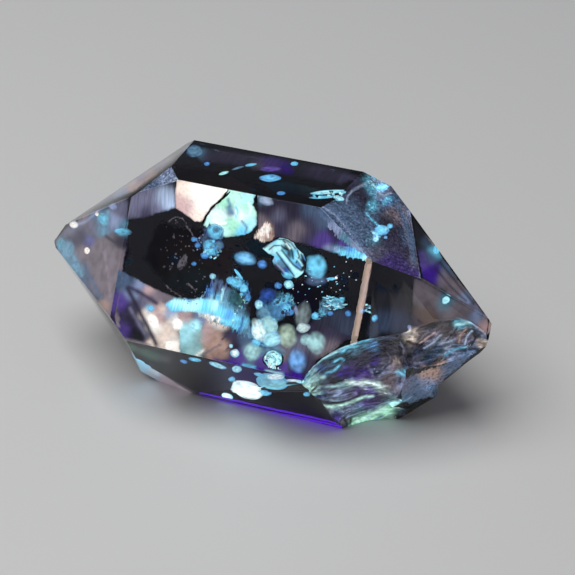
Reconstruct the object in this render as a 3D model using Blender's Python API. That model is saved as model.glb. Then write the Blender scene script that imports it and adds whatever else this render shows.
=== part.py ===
"""A petroleum quartz crystal, clear and doubly terminated, lying on one of its prism faces.

The crystal's long axis, its c axis, runs along X. Each flat face is a plane that cuts a block, at its own
distance from the axis, because natural faces grow at different speeds. Flakes broken off the lower front
corner of the right-hand end left shell-like hollows. The crystal grew as one piece, so it is one solid.
"""

from collections import namedtuple
from math import atan, cos, pi, radians, sin, sqrt, tan

import bmesh
import bpy
from mathutils import Matrix, Vector, noise

MM = 0.001

# Quartz: a pyramid face leans so that its normal stands 38.2 degrees from its prism face's normal.
AXIAL_RATIO = 1.1
PYRAMID_LEAN = atan(sqrt(3) / (2 * AXIAL_RATIO))

# For each way round: the turn from straight up towards the front, in degrees, then how far from the middle
# of the axis lie the prism face, the right-hand pyramid face and the left-hand one, in mm.
FACES = {
    "top": (0, 5.09, 6.51, 6.46),
    "front_upper": (60, 3.69, 6.26, 6.08),
    "front_lower": (120, 4.60, 6.64, 6.26),
    "bottom": (180, 4.71, 7.72, 6.21),
    "back_lower": (240, 3.54, 6.16, 6.64),
    "back_upper": (300, 4.37, 6.38, 6.15),
}
BLOCK = 40 * MM

# A steep narrow facet between the lower front prism face and the left pyramid face over the bottom. The
# share says how much it leans from the first towards the second.
STEEP_FACET_SHARE = 0.254
STEEP_FACET_AT = 5.14 * MM

# Worn strips: one along the edge from the broad front face to its right pyramid face, one along the foot.
BAR_WIDTH = 0.28 * MM
FOOT_STRIP_TURN = 129
FOOT_STRIP_WIDTH = 0.45 * MM

# Etched corners, where the crystal was partly dissolved again: each is a normal and a distance in mm.
ETCHED = {
    "shoulder": ((0.442, -0.187, 0.877), 6.04),
    "shoulder_slope": ((0.532, -0.065, 0.844), 6.10),
    "nick": ((-0.32, -0.249, 0.914), 6.01),
}

# Three break planes. On each, u runs towards the right-hand tip, and v runs square to it. The one at the
# tip also takes off the sharp edge before its hollows are added.
SIDE_BREAK = Vector((0.58, -0.775, -0.25)).normalized()
TIP_BREAK = Vector((0.677, -0.72, 0.154)).normalized()
TIP_BREAK_AT = 6.92 * MM
UNDER_BREAK = Vector((0.67, 0.286, -0.685)).normalized()

# A hollow that a flake left: the plane it lies on, its middle (u, v), how far out its floor and its rim
# lie, its half width and half height, its turn in degrees, and the number and height of its ripples, which
# spread from the blow, a place given as shares of the half sizes. All lengths are in mm.
Flake = namedtuple("Flake", "plane middle floor rim half turn blow ripples ripple_height")
FLAKES = {
    "side_hollow": Flake(SIDE_BREAK, (2.05, -0.80), 5.86, 5.99, (1.95, 2.85), 0, (0.9, -0.6), 4, 0.030),
    "upper_hollow": Flake(SIDE_BREAK, (2.30, 0.45), 5.46, 5.90, (2.35, 1.30), 12, (0.7, -0.9), 5, 0.040),
    "inner_hollow": Flake(SIDE_BREAK, (3.10, 0.40), 5.38, 5.62, (1.25, 0.95), -10, (-0.9, 0.9), 3, 0.030),
    "first_ledge": Flake(SIDE_BREAK, (1.75, -1.00), 5.74, 5.82, (1.50, 0.42), -20, (-1, 1), 2, 0.020),
    "second_ledge": Flake(SIDE_BREAK, (2.50, -1.95), 5.70, 5.78, (1.60, 0.50), -27, (-1, -1), 2, 0.020),
    "foot_hollow": Flake(SIDE_BREAK, (2.75, -3.45), 5.46, 5.70, (1.45, 0.85), -15, (0.9, 0.9), 3, 0.025),
    "tip_hollow": Flake(TIP_BREAK, (4.95, -0.45), 6.36, 6.64, (2.05, 1.20), 4, (-0.9, 0.2), 5, 0.035),
    "tip_scallop": Flake(TIP_BREAK, (6.15, -0.35), 6.32, 6.56, (0.80, 0.60), 20, (0.2, 1.1), 2, 0.030),
    "under_hollow": Flake(UNDER_BREAK, (6.10, 0.90), 7.09, 7.00, (1.95, 2.20), 0, (-0.9, 0), 2, 0.010),
    "notch": Flake(UNDER_BREAK, (4.38, 1.75), 6.66, 6.74, (0.22, 0.60), 0, (0, 0), 0, 0),
}
FLAKE_STEPS = 32
FLAKE_RINGS = 9
CUTTER_TOP = 3
WALL_SPREAD = 0.10
WALL_RISE = 0.30
SWELL = 0.10
SWELLS_PER_MM = 0.55
ROUGHNESS = 0.035
ROUGHNESSES_PER_MM = 2.2


def radial(degrees_round):
    """A unit vector square to the axis, turned from straight up towards the front."""
    turn = radians(degrees_round)
    return Vector((0, -sin(turn), cos(turn)))


def pyramid(degrees_round, end):
    """The normal of the pyramid face over that way round; end is 1 for the right-hand end and -1 for the left."""
    return radial(degrees_round) * cos(PYRAMID_LEAN) + Vector((end * sin(PYRAMID_LEAN), 0, 0))


def cut(mesh, normal, distance):
    """Cuts away all that lies further out along a normal than a distance, and closes the cut."""
    parts = mesh.verts[:] + mesh.edges[:] + mesh.faces[:]
    result = bmesh.ops.bisect_plane(
        mesh, geom=parts, dist=1e-8, plane_co=normal * distance, plane_no=normal, clear_outer=True
    )
    rim = [part for part in result["geom_cut"] if isinstance(part, bmesh.types.BMEdge)]
    bmesh.ops.edgeloop_fill(mesh, edges=rim)


def strip_plane(first, second, normal, width):
    """The plane that takes a strip of this width off the edge where two planes meet."""
    along = first[0].cross(second[0]).normalized()
    rows = Matrix((first[0], second[0], along))
    edge = rows.inverted() @ Vector((first[1], second[1], 0))
    depth = width / sum(1 / tan(normal.angle(plane[0])) for plane in (first, second))
    return normal, edge.dot(normal) - depth


def crystal():
    """The whole crystal before anything broke: a block cut by every flat face."""
    mesh = bmesh.new()
    bmesh.ops.create_cube(mesh, size=BLOCK)
    planes = {}
    for name, (turn, prism, right, left) in FACES.items():
        planes[name] = (radial(turn), prism * MM)
        planes[name + "_right"] = (pyramid(turn, 1), right * MM)
        planes[name + "_left"] = (pyramid(turn, -1), left * MM)
    steep = planes["front_lower"][0] + planes["bottom_left"][0] * STEEP_FACET_SHARE
    planes["steep"] = (steep.normalized(), STEEP_FACET_AT)
    broad, over_broad = planes["front_upper"], planes["front_upper_right"]
    planes["bar"] = strip_plane(broad, over_broad, (broad[0] + over_broad[0]).normalized(), BAR_WIDTH)
    planes["foot"] = strip_plane(
        planes["front_lower"], planes["bottom"], radial(FOOT_STRIP_TURN), FOOT_STRIP_WIDTH
    )
    for name, (normal, distance) in ETCHED.items():
        planes[name] = (Vector(normal).normalized(), distance * MM)
    planes["tip_break"] = (TIP_BREAK, TIP_BREAK_AT)
    for normal, distance in planes.values():
        cut(mesh, normal, distance)
    return mesh


def plane_frame(normal):
    """Turns (u, v, out) on a break plane into world directions."""
    u = (Vector((1, 0, 0)) - normal * normal.x).normalized()
    v = normal.cross(u)
    return Matrix((u, v, normal)).transposed()


def flake_cutter(name, flake):
    """A dish made by spinning its profile, squashed to an uneven oval with a rippled, swelling floor."""
    top = flake.rim + CUTTER_TOP
    profile = []
    for ring in range(FLAKE_RINGS + 1):
        share = ring / FLAKE_RINGS
        profile.append((share, 0, flake.floor + (flake.rim - flake.floor) * share**2))
    profile += [(1 + WALL_SPREAD, 0, flake.rim + WALL_RISE), (1 + 2 * WALL_SPREAD, 0, top), (0, 0, top)]
    mesh = bmesh.new()
    verts = [mesh.verts.new(point) for point in profile]
    edges = [mesh.edges.new(pair) for pair in zip(verts, verts[1:])]
    bmesh.ops.spin(mesh, geom=verts + edges, axis=(0, 0, 1), angle=2 * pi, steps=FLAKE_STEPS, use_merge=True)
    bmesh.ops.remove_doubles(mesh, verts=mesh.verts[:], dist=1e-5)
    bmesh.ops.recalc_face_normals(mesh, faces=mesh.faces[:])
    turned = Matrix.Rotation(radians(flake.turn), 4, "Z")
    blow = Vector((*flake.blow, 0))
    for vert in mesh.verts:
        flat = Vector((vert.co.x, vert.co.y, 0))
        reach = (flat - blow).length
        ripple = flake.ripple_height * sin(pi * flake.ripples * reach)
        oval = Vector((flat.x * flake.half[0], flat.y * flake.half[1], flake.floor * 7))
        swell = SWELL * noise.noise(oval * SWELLS_PER_MM)
        rough = ROUGHNESS * noise.noise(oval * ROUGHNESSES_PER_MM)
        sideways = 1 + 2 * swell + 2 * rough
        vert.co = Vector((oval.x * sideways, oval.y * sideways, vert.co.z + ripple + swell + rough))
    frame = Matrix.Scale(MM, 4) @ plane_frame(flake.plane).to_4x4()
    place = Matrix.Translation((*flake.middle, 0)) @ turned
    bmesh.ops.transform(mesh, matrix=frame @ place, verts=mesh.verts[:])
    cutter = new_object("cutter_" + name, mesh)
    cutter.hide_render = True
    cutter.display_type = "WIRE"
    return cutter


def new_object(name, mesh):
    data = bpy.data.meshes.new(name)
    mesh.to_mesh(data)
    mesh.free()
    thing = bpy.data.objects.new(name, data)
    bpy.context.scene.collection.objects.link(thing)
    return thing


def carve(piece, cutter):
    """Takes the cutter's shape out of the piece."""
    modifier = piece.modifiers.new(cutter.name, "BOOLEAN")
    modifier.operation = "DIFFERENCE"
    modifier.solver = "EXACT"
    modifier.object = cutter


def clear_quartz():
    """See-through quartz with quartz's own refraction."""
    material = bpy.data.materials.new("clear_quartz")
    material.use_nodes = True
    shader = material.node_tree.nodes["Principled BSDF"]
    shader.inputs["Base Color"].default_value = (0.90, 0.91, 0.97, 1)
    shader.inputs["Roughness"].default_value = 0.02
    shader.inputs["Metallic"].default_value = 0
    shader.inputs["Transmission Weight"].default_value = 1
    shader.inputs["IOR"].default_value = 1.544
    return material


def stand_on_origin(piece):
    """Moves everything so that the origin is under the middle of the crystal, on what it lies on."""
    frame = bpy.data.objects.new("frame", None)
    bpy.context.scene.collection.objects.link(frame)
    for thing in list(bpy.data.objects):
        if thing is not frame:
            thing.parent = frame
    bpy.context.view_layer.update()
    made = piece.evaluated_get(bpy.context.evaluated_depsgraph_get())
    corners = [Vector(corner) for corner in made.bound_box]
    low = Vector([min(corner[axis] for corner in corners) for axis in range(3)])
    high = Vector([max(corner[axis] for corner in corners) for axis in range(3)])
    frame.location = (-(low.x + high.x) / 2, -(low.y + high.y) / 2, -low.z)


def main():
    for thing in list(bpy.data.objects):
        bpy.data.objects.remove(thing, do_unlink=True)
    piece = new_object("quartz_crystal", crystal())
    piece.data.materials.append(clear_quartz())
    for name, flake in FLAKES.items():
        carve(piece, flake_cutter(name, flake))
    stand_on_origin(piece)


main()
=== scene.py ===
# %% [markdown]
# # A petroleum quartz crystal
# This crystal grew in one piece, with six long prism faces and a six-sided point at each end. While it grew
# it trapped oil in tiny cavities. In violet light the oil glows blue, and the clear quartz round it stays
# dark. The solid already has the right faces and the break at its right-hand end, so this lesson adds what
# makes it look real: see-through quartz, frosted corners, the oil inside and the coloured lights in the
# break.

# %% Load the crystal
import random
from math import cos, exp, pi, radians, sin, sqrt

import bmesh
import bpy
from mathutils import Matrix, Vector, noise
from mathutils.bvhtree import BVHTree


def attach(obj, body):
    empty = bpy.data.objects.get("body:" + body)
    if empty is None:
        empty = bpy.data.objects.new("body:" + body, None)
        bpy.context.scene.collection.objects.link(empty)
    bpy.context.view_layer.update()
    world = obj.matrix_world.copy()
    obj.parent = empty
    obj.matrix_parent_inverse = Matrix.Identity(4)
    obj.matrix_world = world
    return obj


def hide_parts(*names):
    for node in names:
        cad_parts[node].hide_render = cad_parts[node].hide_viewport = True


MM = 0.001
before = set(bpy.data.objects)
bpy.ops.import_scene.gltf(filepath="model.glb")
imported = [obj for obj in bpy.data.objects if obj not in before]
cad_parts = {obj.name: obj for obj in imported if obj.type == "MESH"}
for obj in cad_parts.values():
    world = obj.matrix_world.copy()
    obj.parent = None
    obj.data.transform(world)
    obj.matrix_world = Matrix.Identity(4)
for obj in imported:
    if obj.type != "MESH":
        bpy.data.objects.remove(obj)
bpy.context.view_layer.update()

# %% [markdown]
# ## The camera
# The photograph was taken from the front right and a little above, through a long lens. A long lens far away
# keeps the parallel edges of the crystal nearly parallel, which is why the lens here is over 130 mm.

# %% Camera
CAMERA_TURN = radians(21.04)
CAMERA_RISE = radians(32.58)
CAMERA_AWAY = 89.54 * MM
CAMERA_AIM = Vector((0.93, 0.39, 4.57)) * MM
CAMERA_LENS = 131.7
SENSOR_WIDTH = 36
PICTURE = 575

RIGHT = Vector((cos(CAMERA_TURN), sin(CAMERA_TURN), 0))
BACK = Vector((sin(CAMERA_TURN) * cos(CAMERA_RISE), -cos(CAMERA_TURN) * cos(CAMERA_RISE), sin(CAMERA_RISE)))
UP = BACK.cross(RIGHT)
CAMERA_AT = CAMERA_AIM + BACK * CAMERA_AWAY
camera = bpy.data.objects.new("camera", bpy.data.cameras.new("camera"))
bpy.context.scene.collection.objects.link(camera)
camera.matrix_world = Matrix.Translation(CAMERA_AT) @ Matrix((RIGHT, UP, BACK)).transposed().to_4x4()
camera.data.lens = CAMERA_LENS
camera.data.sensor_width = SENSOR_WIDTH
camera.data.clip_start = MM
bpy.context.scene.camera = camera
print("camera at", [round(side / MM, 1) for side in CAMERA_AT], "mm")

# %% [markdown]
# ## Looking into the quartz
# Light bends as it enters quartz, so an oil drop isn't where it seems to be. These helpers follow a line of
# sight from the camera to a face, bend it by the law of refraction and stop at a depth behind the face.

# %% Line of sight
QUARTZ_IOR = 1.544
ABSORBED_PER_MM = 0.5
HALF_VIEW = SENSOR_WIDTH / 2 / CAMERA_LENS
PIXEL = 2 * HALF_VIEW * CAMERA_AWAY / PICTURE


def sight(x, y):
    """The way from the camera through a point of the square picture, counted in pixels from its top left."""
    across = (2 * x / PICTURE - 1) * HALF_VIEW
    upward = (1 - 2 * y / PICTURE) * HALF_VIEW
    return (RIGHT * across + UP * upward - BACK).normalized()


def look_in(facet, x, y, depth):
    """The place seen through a facet at (x, y), a depth in mm behind it. A facet is a point and a normal."""
    point, normal = facet
    way = sight(x, y)
    entry = CAMERA_AT + way * ((point - CAMERA_AT).dot(normal) / way.dot(normal))
    facing = -way.dot(normal)
    bend = facing / QUARTZ_IOR - sqrt(1 - (1 - facing**2) / QUARTZ_IOR**2)
    return entry + (way / QUARTZ_IOR + normal * bend) * depth * MM


def straight_in(facet, x, y, depth):
    """A place behind a facet that the camera doesn't see, in pixel steps from the facet's own point."""
    point, normal = facet
    across = (Vector((1, 0, 0)) - normal * normal.x).normalized()
    return point + (across * x + normal.cross(across) * y) * PIXEL - normal * depth * MM


def in_picture(place):
    """Where a point of space lies in the picture, in pixels."""
    offset = place - CAMERA_AT
    away = -offset.dot(BACK)
    x = (offset.dot(RIGHT) / away / HALF_VIEW + 1) * PICTURE / 2
    y = (1 - offset.dot(UP) / away / HALF_VIEW) * PICTURE / 2
    return Vector((x, y))


print("one pixel is", round(PIXEL / MM, 4), "mm")

# %% [markdown]
# ## The body of the crystal
# The solid arrives as loose triangles. A copy is merged, and flat neighbours are joined again, so each
# growth face is one face. What is left over are the many small faces of the break, and they get finer
# steps.

# %% Merge the faces
MERGE_DISTANCE = 0.002 * MM
FLAT_ANGLE = radians(0.4)
GROWTH_FACE_AREA = 0.9 * MM**2
SAME_PLANE = 0.01 * MM
SAME_WAY = radians(1)
ETCHED_WAYS = [(0.442, -0.187, 0.877), (0.532, -0.065, 0.844), (-0.32, -0.249, 0.914)]
ETCHED_NORMALS = [Vector(way) for way in ETCHED_WAYS]
CLEAR, ETCHED, BROKEN, WORN_GLINT = range(4)


def faces_along(normal):
    """The faces of the crystal that look the same way as a normal, to within a degree."""
    return [face for face in body.faces if face.normal.dot(normal.normalized()) > cos(SAME_WAY)]


body = bmesh.new()
body.from_mesh(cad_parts["quartz_crystal"].data)
bmesh.ops.remove_doubles(body, verts=body.verts[:], dist=MERGE_DISTANCE)
bmesh.ops.dissolve_limit(body, angle_limit=FLAT_ANGLE, verts=body.verts[:], edges=body.edges[:])
for face in body.faces:
    face.material_index = BROKEN
for grown in [face for face in body.faces if face.calc_area() > GROWTH_FACE_AREA]:
    for face in faces_along(grown.normal):
        if abs((face.calc_center_median() - grown.calc_center_median()).dot(grown.normal)) < SAME_PLANE:
            face.material_index = CLEAR
for normal in ETCHED_NORMALS:
    for face in faces_along(normal):
        face.material_index = ETCHED
kinds = [sum(face.material_index == kind for face in body.faces) for kind in (CLEAR, ETCHED, BROKEN)]
print("clear, etched and broken faces:", kinds)

# %% [markdown]
# Films and drops are placed behind a face of the crystal, so the faces get names. A face in view is found
# by a line of sight through a place in the picture, and one on the far side by a straight line from behind.

# %% Name the faces
skin = BVHTree.FromBMesh(body)
FAR = 30


def facet_at(x, y):
    """The point and normal of the flat face seen at a place in the picture."""
    point, normal, _, _ = skin.ray_cast(CAMERA_AT, sight(x, y))
    return point, normal


FRONT = facet_at(240, 300)
TOP = facet_at(300, 177)
LOWER = facet_at(230, 385)
LEFT = facet_at(85, 250)
LEFT_TOP = facet_at(148, 177)
RIGHT_FACE = facet_at(420, 305)
SHOULDER = facet_at(377, 226)
RIGHT_TOP = facet_at(445, 275)
BAR = facet_at(359, 310)
STEEP = facet_at(150, 372)
FOOT = facet_at(270, 411)
RIGHT_LOWER = facet_at(429, 381)


def facet_behind(x, z):
    """The point and normal of a face on the far side, x and z in mm."""
    point, normal, _, _ = skin.ray_cast(Vector((x, FAR, z)) * MM, Vector((0, -1, 0)))
    return point, normal


BACK_LOWER = facet_behind(-0.8, 3.1)
BACK_UPPER = facet_behind(0.0, 8.2)
BACK_LEFT_UPPER = facet_behind(-7.3, 5.6)
BACK_LEFT_LOWER = facet_behind(-7.3, 3.3)
BACK_RIGHT_UPPER = facet_behind(6.7, 6.4)
BACK_RIGHT_LOWER = facet_behind(8.0, 2.4)


def outline_of(facet):
    """The rim of a flat face in pixels of the picture, as a closed line."""
    level = [face for face in faces_along(facet[1])
             if abs((face.calc_center_median() - facet[0]).dot(facet[1])) < SAME_PLANE]
    largest = max(level, key=lambda face: face.calc_area())
    corners = [in_picture(vert.co) for vert in largest.verts]
    return corners + corners[:1]


FRONT_RIM = outline_of(FRONT)
print("front face looks along", [round(part, 2) for part in FRONT[1]])
print("front face has", len(FRONT_RIM) - 1, "corners")

# %% [markdown]
# A break in quartz isn't smooth like glass from a mould: its hollows carry fine ripples and hackle lines
# that fan out from where the blow fell. The broken faces are divided further and moved a few hundredths of
# a millimetre along their normals by noise, most where the ripples run.

# %% Ripples in the break
BREAK_CUTS = 2
RIPPLE_HEIGHT = 0.03 * MM
RIPPLE_RUN = Vector((0.82, 0.56, 0.12)).normalized()
RIPPLE_STRETCH = 0.8
RIPPLES_PER_MM = (3.0, 6.5)
RIDGE_WIDTH = 0.09
FINE_RIDGE_SHARE = 0.4
MIDDLE = 0.5
GRIT_HEIGHT = 0.012 * MM
GRIT_PER_MM = 7.0


def divide(faces, cuts):
    """Divides faces evenly, and cuts broken ones with more than four corners into triangles."""
    edges = {edge for face in faces for edge in face.edges}
    bmesh.ops.subdivide_edges(body, edges=list(edges), cuts=cuts, use_grid_fill=True)
    uneven = [face for face in body.faces if len(face.verts) > 4 and face.material_index == BROKEN]
    bmesh.ops.triangulate(body, faces=uneven)


def hackle(place):
    """1 on the thin ridges that run along the break, 0 between them, for each of two sizes of ridge."""
    stretched = place - RIPPLE_RUN * place.dot(RIPPLE_RUN) * RIPPLE_STRETCH
    return [exp(-(noise.noise(stretched / MM * per_mm) / RIDGE_WIDTH) ** 2) for per_mm in RIPPLES_PER_MM]


def break_height(place):
    """How far the break stands out at a place, in metres: ridges and fine grit."""
    coarse, fine = hackle(place)
    ridges = coarse + fine * FINE_RIDGE_SHARE - MIDDLE
    return RIPPLE_HEIGHT * ridges + GRIT_HEIGHT * noise.noise(place / MM * GRIT_PER_MM)


def broken_faces():
    return [face for face in body.faces if face.material_index == BROKEN]


bmesh.ops.triangulate(body, faces=broken_faces())
divide(broken_faces(), BREAK_CUTS)
inner = [vert for vert in body.verts if all(face.material_index == BROKEN for face in vert.link_faces)]
body.normal_update()
shift = {vert: vert.normal * break_height(vert.co) for vert in inner}
for vert, way in shift.items():
    vert.co += way
print("break:", len(inner), "corners,", len(body.faces), "faces in the crystal")

# %% [markdown]
# The etched corners were partly dissolved again. They are covered with tiny pits and hillocks, so their
# faces are cut into a fine grid by parallel planes, and the corners of the grid are moved in and out.

# %% Pits on the etched corners
GRID_STEP = 0.06 * MM
CUT_TOLERANCE = 0.00001 * MM
PIT_DEPTH = 0.05 * MM
PIT_SHARE = 0.6
PITS_PER_MM = 3.2
SQUIGGLES_PER_MM = 6.5
SQUIGGLE_WIDTH = 0.13


def squiggle(place):
    """1 on the thin winding crests between the pits, 0 beside them."""
    return exp(-(noise.noise(place / MM * SQUIGGLES_PER_MM) / SQUIGGLE_WIDTH) ** 2)


def cut_in_grid(faces, normal):
    """Cuts flat faces by two sets of parallel planes, square to each other."""
    across = normal.orthogonal().normalized()
    for way in (across, normal.cross(across)):
        reach = [vert.co.dot(way) for face in faces for vert in face.verts]
        steps = int((max(reach) - min(reach)) / GRID_STEP)
        for step in range(1, steps + 1):
            edges = {edge for face in faces for edge in face.edges}
            verts = {vert for face in faces for vert in face.verts}
            cut = bmesh.ops.bisect_plane(body, geom=[*verts, *edges, *faces], dist=CUT_TOLERANCE,
                                         plane_co=way * (min(reach) + step * GRID_STEP), plane_no=way)
            made = [part for part in cut["geom"] if isinstance(part, bmesh.types.BMFace)]
            faces = [face for face in made if face.is_valid]


for normal in ETCHED_NORMALS:
    cut_in_grid(faces_along(normal), normal.normalized())
body.normal_update()
pitted = [vert for vert in body.verts if all(face.material_index == ETCHED for face in vert.link_faces)]
for vert in pitted:
    pit = noise.voronoi(vert.co / MM * PITS_PER_MM)[0][0]
    vert.co += vert.normal * PIT_DEPTH * (pit * PIT_SHARE + squiggle(vert.co) * (1 - PIT_SHARE) - MIDDLE)
print("etched corners:", len(pitted), "corners")

# %% [markdown]
# ## Colours
# The colours are named as a maker would, and given as they look on a screen.

# %% Palette
def seen(red, green, blue):
    """A colour given as it looks on a screen, 0 to 255, turned into light."""
    parts = [value / 255 for value in (red, green, blue)]
    return Vector([part / 12.92 if part < 0.04045 else ((part + 0.055) / 1.055) ** 2.4 for part in parts])


NIGHT = seen(30, 30, 36)
ICE = seen(228, 252, 253)
CREAM = seen(254, 249, 240)
MINT = seen(185, 236, 222)
GREEN_ICE = seen(160, 225, 195)
AQUA = seen(112, 204, 238)
BLUE = seen(84, 150, 212)
DEEP_BLUE = seen(46, 78, 140)
LAVENDER = seen(135, 150, 185)
TEAL_GREY = seen(90, 130, 155)
TEAL = seen(96, 142, 168)
DEEP_TEAL = seen(40, 70, 70)
SLATE = seen(72, 92, 115)
PINK_GREY = seen(124, 114, 124)
VIOLET_GREY = seen(62, 58, 82)
INDIGO = seen(62, 22, 150)
VIOLET = seen(90, 70, 150)
TAN = seen(172, 142, 130)
PEACH = seen(240, 222, 208)
STEEL = seen(80, 100, 130)
PALE_AQUA = seen(175, 238, 248)
PALE_TEAL = seen(150, 195, 198)
OLIVE_PALE = seen(165, 190, 172)
DUSK = seen(48, 44, 62)
ROSE = seen(200, 170, 168)
PALE_LAVENDER = seen(160, 178, 205)
DULL_LAVENDER = seen(108, 108, 132)
BLACK = Vector((0, 0, 0))
print("brightest and darkest:", [round(sum(paint) / 3, 3) for paint in (CREAM, NIGHT)])

# %% [markdown]
# The break is painted with the light that it catches, in patches: cyan highlights along its upper rim, mint
# at its foot, violet and dark patches between, and peach glints on a small chip. Each dab below is a spot of
# colour, its place in the picture, its radius in pixels and its colour. The corners of the broken faces take
# the colours of the dabs near them, and noise in the material breaks them up.

# %% Painted light on the break and the etched corners
# painted light on the break: highlights, glints, reflections and darker patches between them
BREAK_LIGHT_DABS = [
    (305, 376, 5, AQUA), (314, 378, 6, PALE_TEAL), (312, 386, 6, MINT), (322, 384, 6, STEEL * 0.8),
    (322, 372, 5, DEEP_BLUE), (330, 368, 5, STEEL * 0.7), (332, 360, 5, seen(30, 54, 70)),
    (340, 367, 4, STEEL * 0.6), (334, 358, 5, seen(40, 80, 95)), (345, 355, 7, seen(34, 52, 60)),
    (355, 351, 5, TEAL_GREY), (354, 343, 5, AQUA), (362, 340, 5, AQUA), (370, 340, 5, STEEL),
    (374, 347, 4, BLUE), (384, 345, 7, NIGHT), (397, 346, 7, seen(52, 52, 58)), (392, 356, 7, DUSK),
    (404, 352, 6, seen(46, 46, 52)), (360, 360, 8, DUSK), (372, 357, 6, DUSK), (375, 362, 4, INDIGO),
    (346, 375, 6, INDIGO), (358, 372, 8, VIOLET * 0.6), (368, 376, 7, VIOLET * 0.7),
    (383, 366, 6, DULL_LAVENDER), (374, 370, 4, STEEL * 0.7), (380, 376, 4, VIOLET_GREY),
    (386, 382, 6, seen(92, 80, 88)), (396, 367, 6, PINK_GREY), (396, 361, 3, PEACH), (333, 381, 5, DUSK),
    (343, 386, 5, PALE_TEAL), (330, 388, 5, DULL_LAVENDER), (350, 384, 4, MINT), (364, 384, 4, ICE),
    (376, 386, 4, MINT), (358, 390, 6, VIOLET), (372, 391, 6, VIOLET), (345, 391, 5, VIOLET),
    (325, 394, 6, STEEL), (340, 396, 7, LAVENDER), (353, 396, 6, DULL_LAVENDER), (318, 392, 4, PALE_TEAL),
    (383, 390, 4, ICE), (367, 398, 5, VIOLET_GREY), (328, 408, 6, DULL_LAVENDER), (337, 414, 4, INDIGO),
    (336, 407, 5, PALE_TEAL), (348, 410, 7, LAVENDER), (358, 409, 7, STEEL), (370, 405, 7, VIOLET),
    (382, 400, 6, VIOLET_GREY), (346, 422, 3, seen(92, 82, 84)), (355, 422, 4, GREEN_ICE),
    (364, 419, 6, GREEN_ICE), (374, 416, 5, GREEN_ICE), (385, 412, 5, MINT), (358, 428, 4, GREEN_ICE),
    (396, 403, 4, MINT), (388, 405, 5, TEAL_GREY), (403, 396, 8, STEEL), (410, 385, 8, seen(104, 132, 176)),
    (420, 392, 8, STEEL), (404, 380, 5, DULL_LAVENDER), (425, 397, 8, SLATE),
    (426, 382, 5, seen(110, 150, 195)), (415, 372, 3, BLUE), (405, 373, 3, AQUA), (424, 371, 4, TAN),
    (433, 373, 4, TAN), (417, 378, 6, LAVENDER), (441, 363, 5, TAN * 0.6), (412, 337, 5, PEACH),
    (409, 335, 3, CREAM), (422, 337, 5, PINK_GREY), (430, 340, 6, DULL_LAVENDER), (417, 347, 6, DUSK),
    (425, 355, 8, STEEL * 0.7), (437, 350, 7, STEEL), (447, 345, 6, PALE_LAVENDER), (453, 352, 6, LAVENDER),
    (452, 360, 4, LAVENDER), (445, 336, 6, PINK_GREY), (460, 325, 4, AQUA * 0.8), (470, 324, 4, TEAL_GREY),
    (472, 331, 4, NIGHT), (462, 335, 6, PINK_GREY), (468, 341, 6, DULL_LAVENDER),
    (482, 343, 4, PEACH * 0.7), (484, 334, 5, STEEL), (470, 352, 7, STEEL), (480, 326, 4, LAVENDER),
    (408, 364, 5, DUSK), (418, 362, 5, DULL_LAVENDER), (398, 390, 4, PINK_GREY),
]
# painted highlights and dark strokes on the break: a line through points, its width in pixels and its colour
BREAK_LIGHT_STROKES = [
    ([(301, 377), (312, 366), (322, 359), (338, 351), (352, 343), (361, 337.5)], 1.2, PALE_AQUA),
    ([(342, 351), (352, 347), (360, 341), (372, 337)], 2.2, AQUA),
    ([(349, 350), (357, 345)], 1.6, AQUA * 0.7), ([(344, 354), (349, 349), (353, 349)], 0.8, NIGHT),
    ([(356, 345), (361, 344), (364, 341)], 0.8, NIGHT), ([(334, 362), (341, 358), (344, 360)], 1.0, AQUA),
    ([(326, 373), (333, 371), (339, 366)], 1.2, AQUA),
    ([(308, 385), (315, 379), (324, 377)], 2.0, PALE_TEAL),
    ([(316, 398), (322, 401), (329, 403), (340, 402.5), (350, 399.5), (360, 395)], 1.3, BLACK),
    ([(320, 405), (332, 407), (343, 405), (352, 402), (363, 397), (373, 396)], 1.3, MINT),
    ([(347, 382.5), (358, 383.5), (368, 382.5), (379, 385)], 1.8, ICE),
    ([(326, 387), (336, 386), (347, 384)], 1.2, PALE_TEAL),
    ([(312, 391), (318, 385), (330, 383), (345, 380)], 1.2, NIGHT),
    ([(353, 425), (364, 420), (377, 415), (390, 409)], 4.5, GREEN_ICE),
    ([(357, 421), (372, 415), (386, 408)], 1.5, MINT),
    ([(352, 428), (368, 424), (382, 416)], 1.0, TEAL_GREY),
    ([(366, 416), (371, 421), (374, 419)], 0.8, PALE_TEAL),
    ([(344, 418), (347, 424), (347, 429)], 1.6, NIGHT), ([(351, 419), (350, 424), (353, 429)], 1.2, BLACK),
    ([(397, 378), (396.5, 386), (395, 397)], 0.8, DULL_LAVENDER),
    ([(368, 365), (371, 372), (375, 380)], 0.8, DULL_LAVENDER),
    ([(397, 372), (406, 373), (417, 372.5)], 1.5, AQUA),
    ([(376, 347), (385, 345), (394, 349), (397, 358)], 0.6, VIOLET_GREY),
    ([(387, 352), (391, 358), (388, 364)], 0.6, DULL_LAVENDER),
    ([(400, 342), (404, 349), (403, 358)], 0.6, DULL_LAVENDER),
    ([(407, 341), (414, 344), (424, 343)], 1.4, BLACK), ([(420, 343), (427, 338), (434, 333)], 0.7, ROSE),
    ([(424, 348), (433, 343), (441, 335)], 0.9, PALE_LAVENDER),
    ([(447, 340), (453, 334), (457, 328)], 1.0, NIGHT), ([(459, 342), (461, 334), (466, 329)], 1.0, TAN),
    ([(465, 344), (467, 336), (472, 331)], 1.0, PALE_LAVENDER),
    ([(471, 346), (475, 339), (480, 334)], 1.0, NIGHT),
    ([(455, 325), (465, 323), (478, 322.5)], 1.4, PALE_AQUA),
    ([(445, 355), (455, 349), (466, 347)], 1.0, AQUA * 0.6),
    ([(379, 377), (384, 372), (396, 372)], 0.8, LAVENDER),
    ([(392, 403), (398, 402), (404, 399)], 1.4, PALE_AQUA),
]
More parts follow.
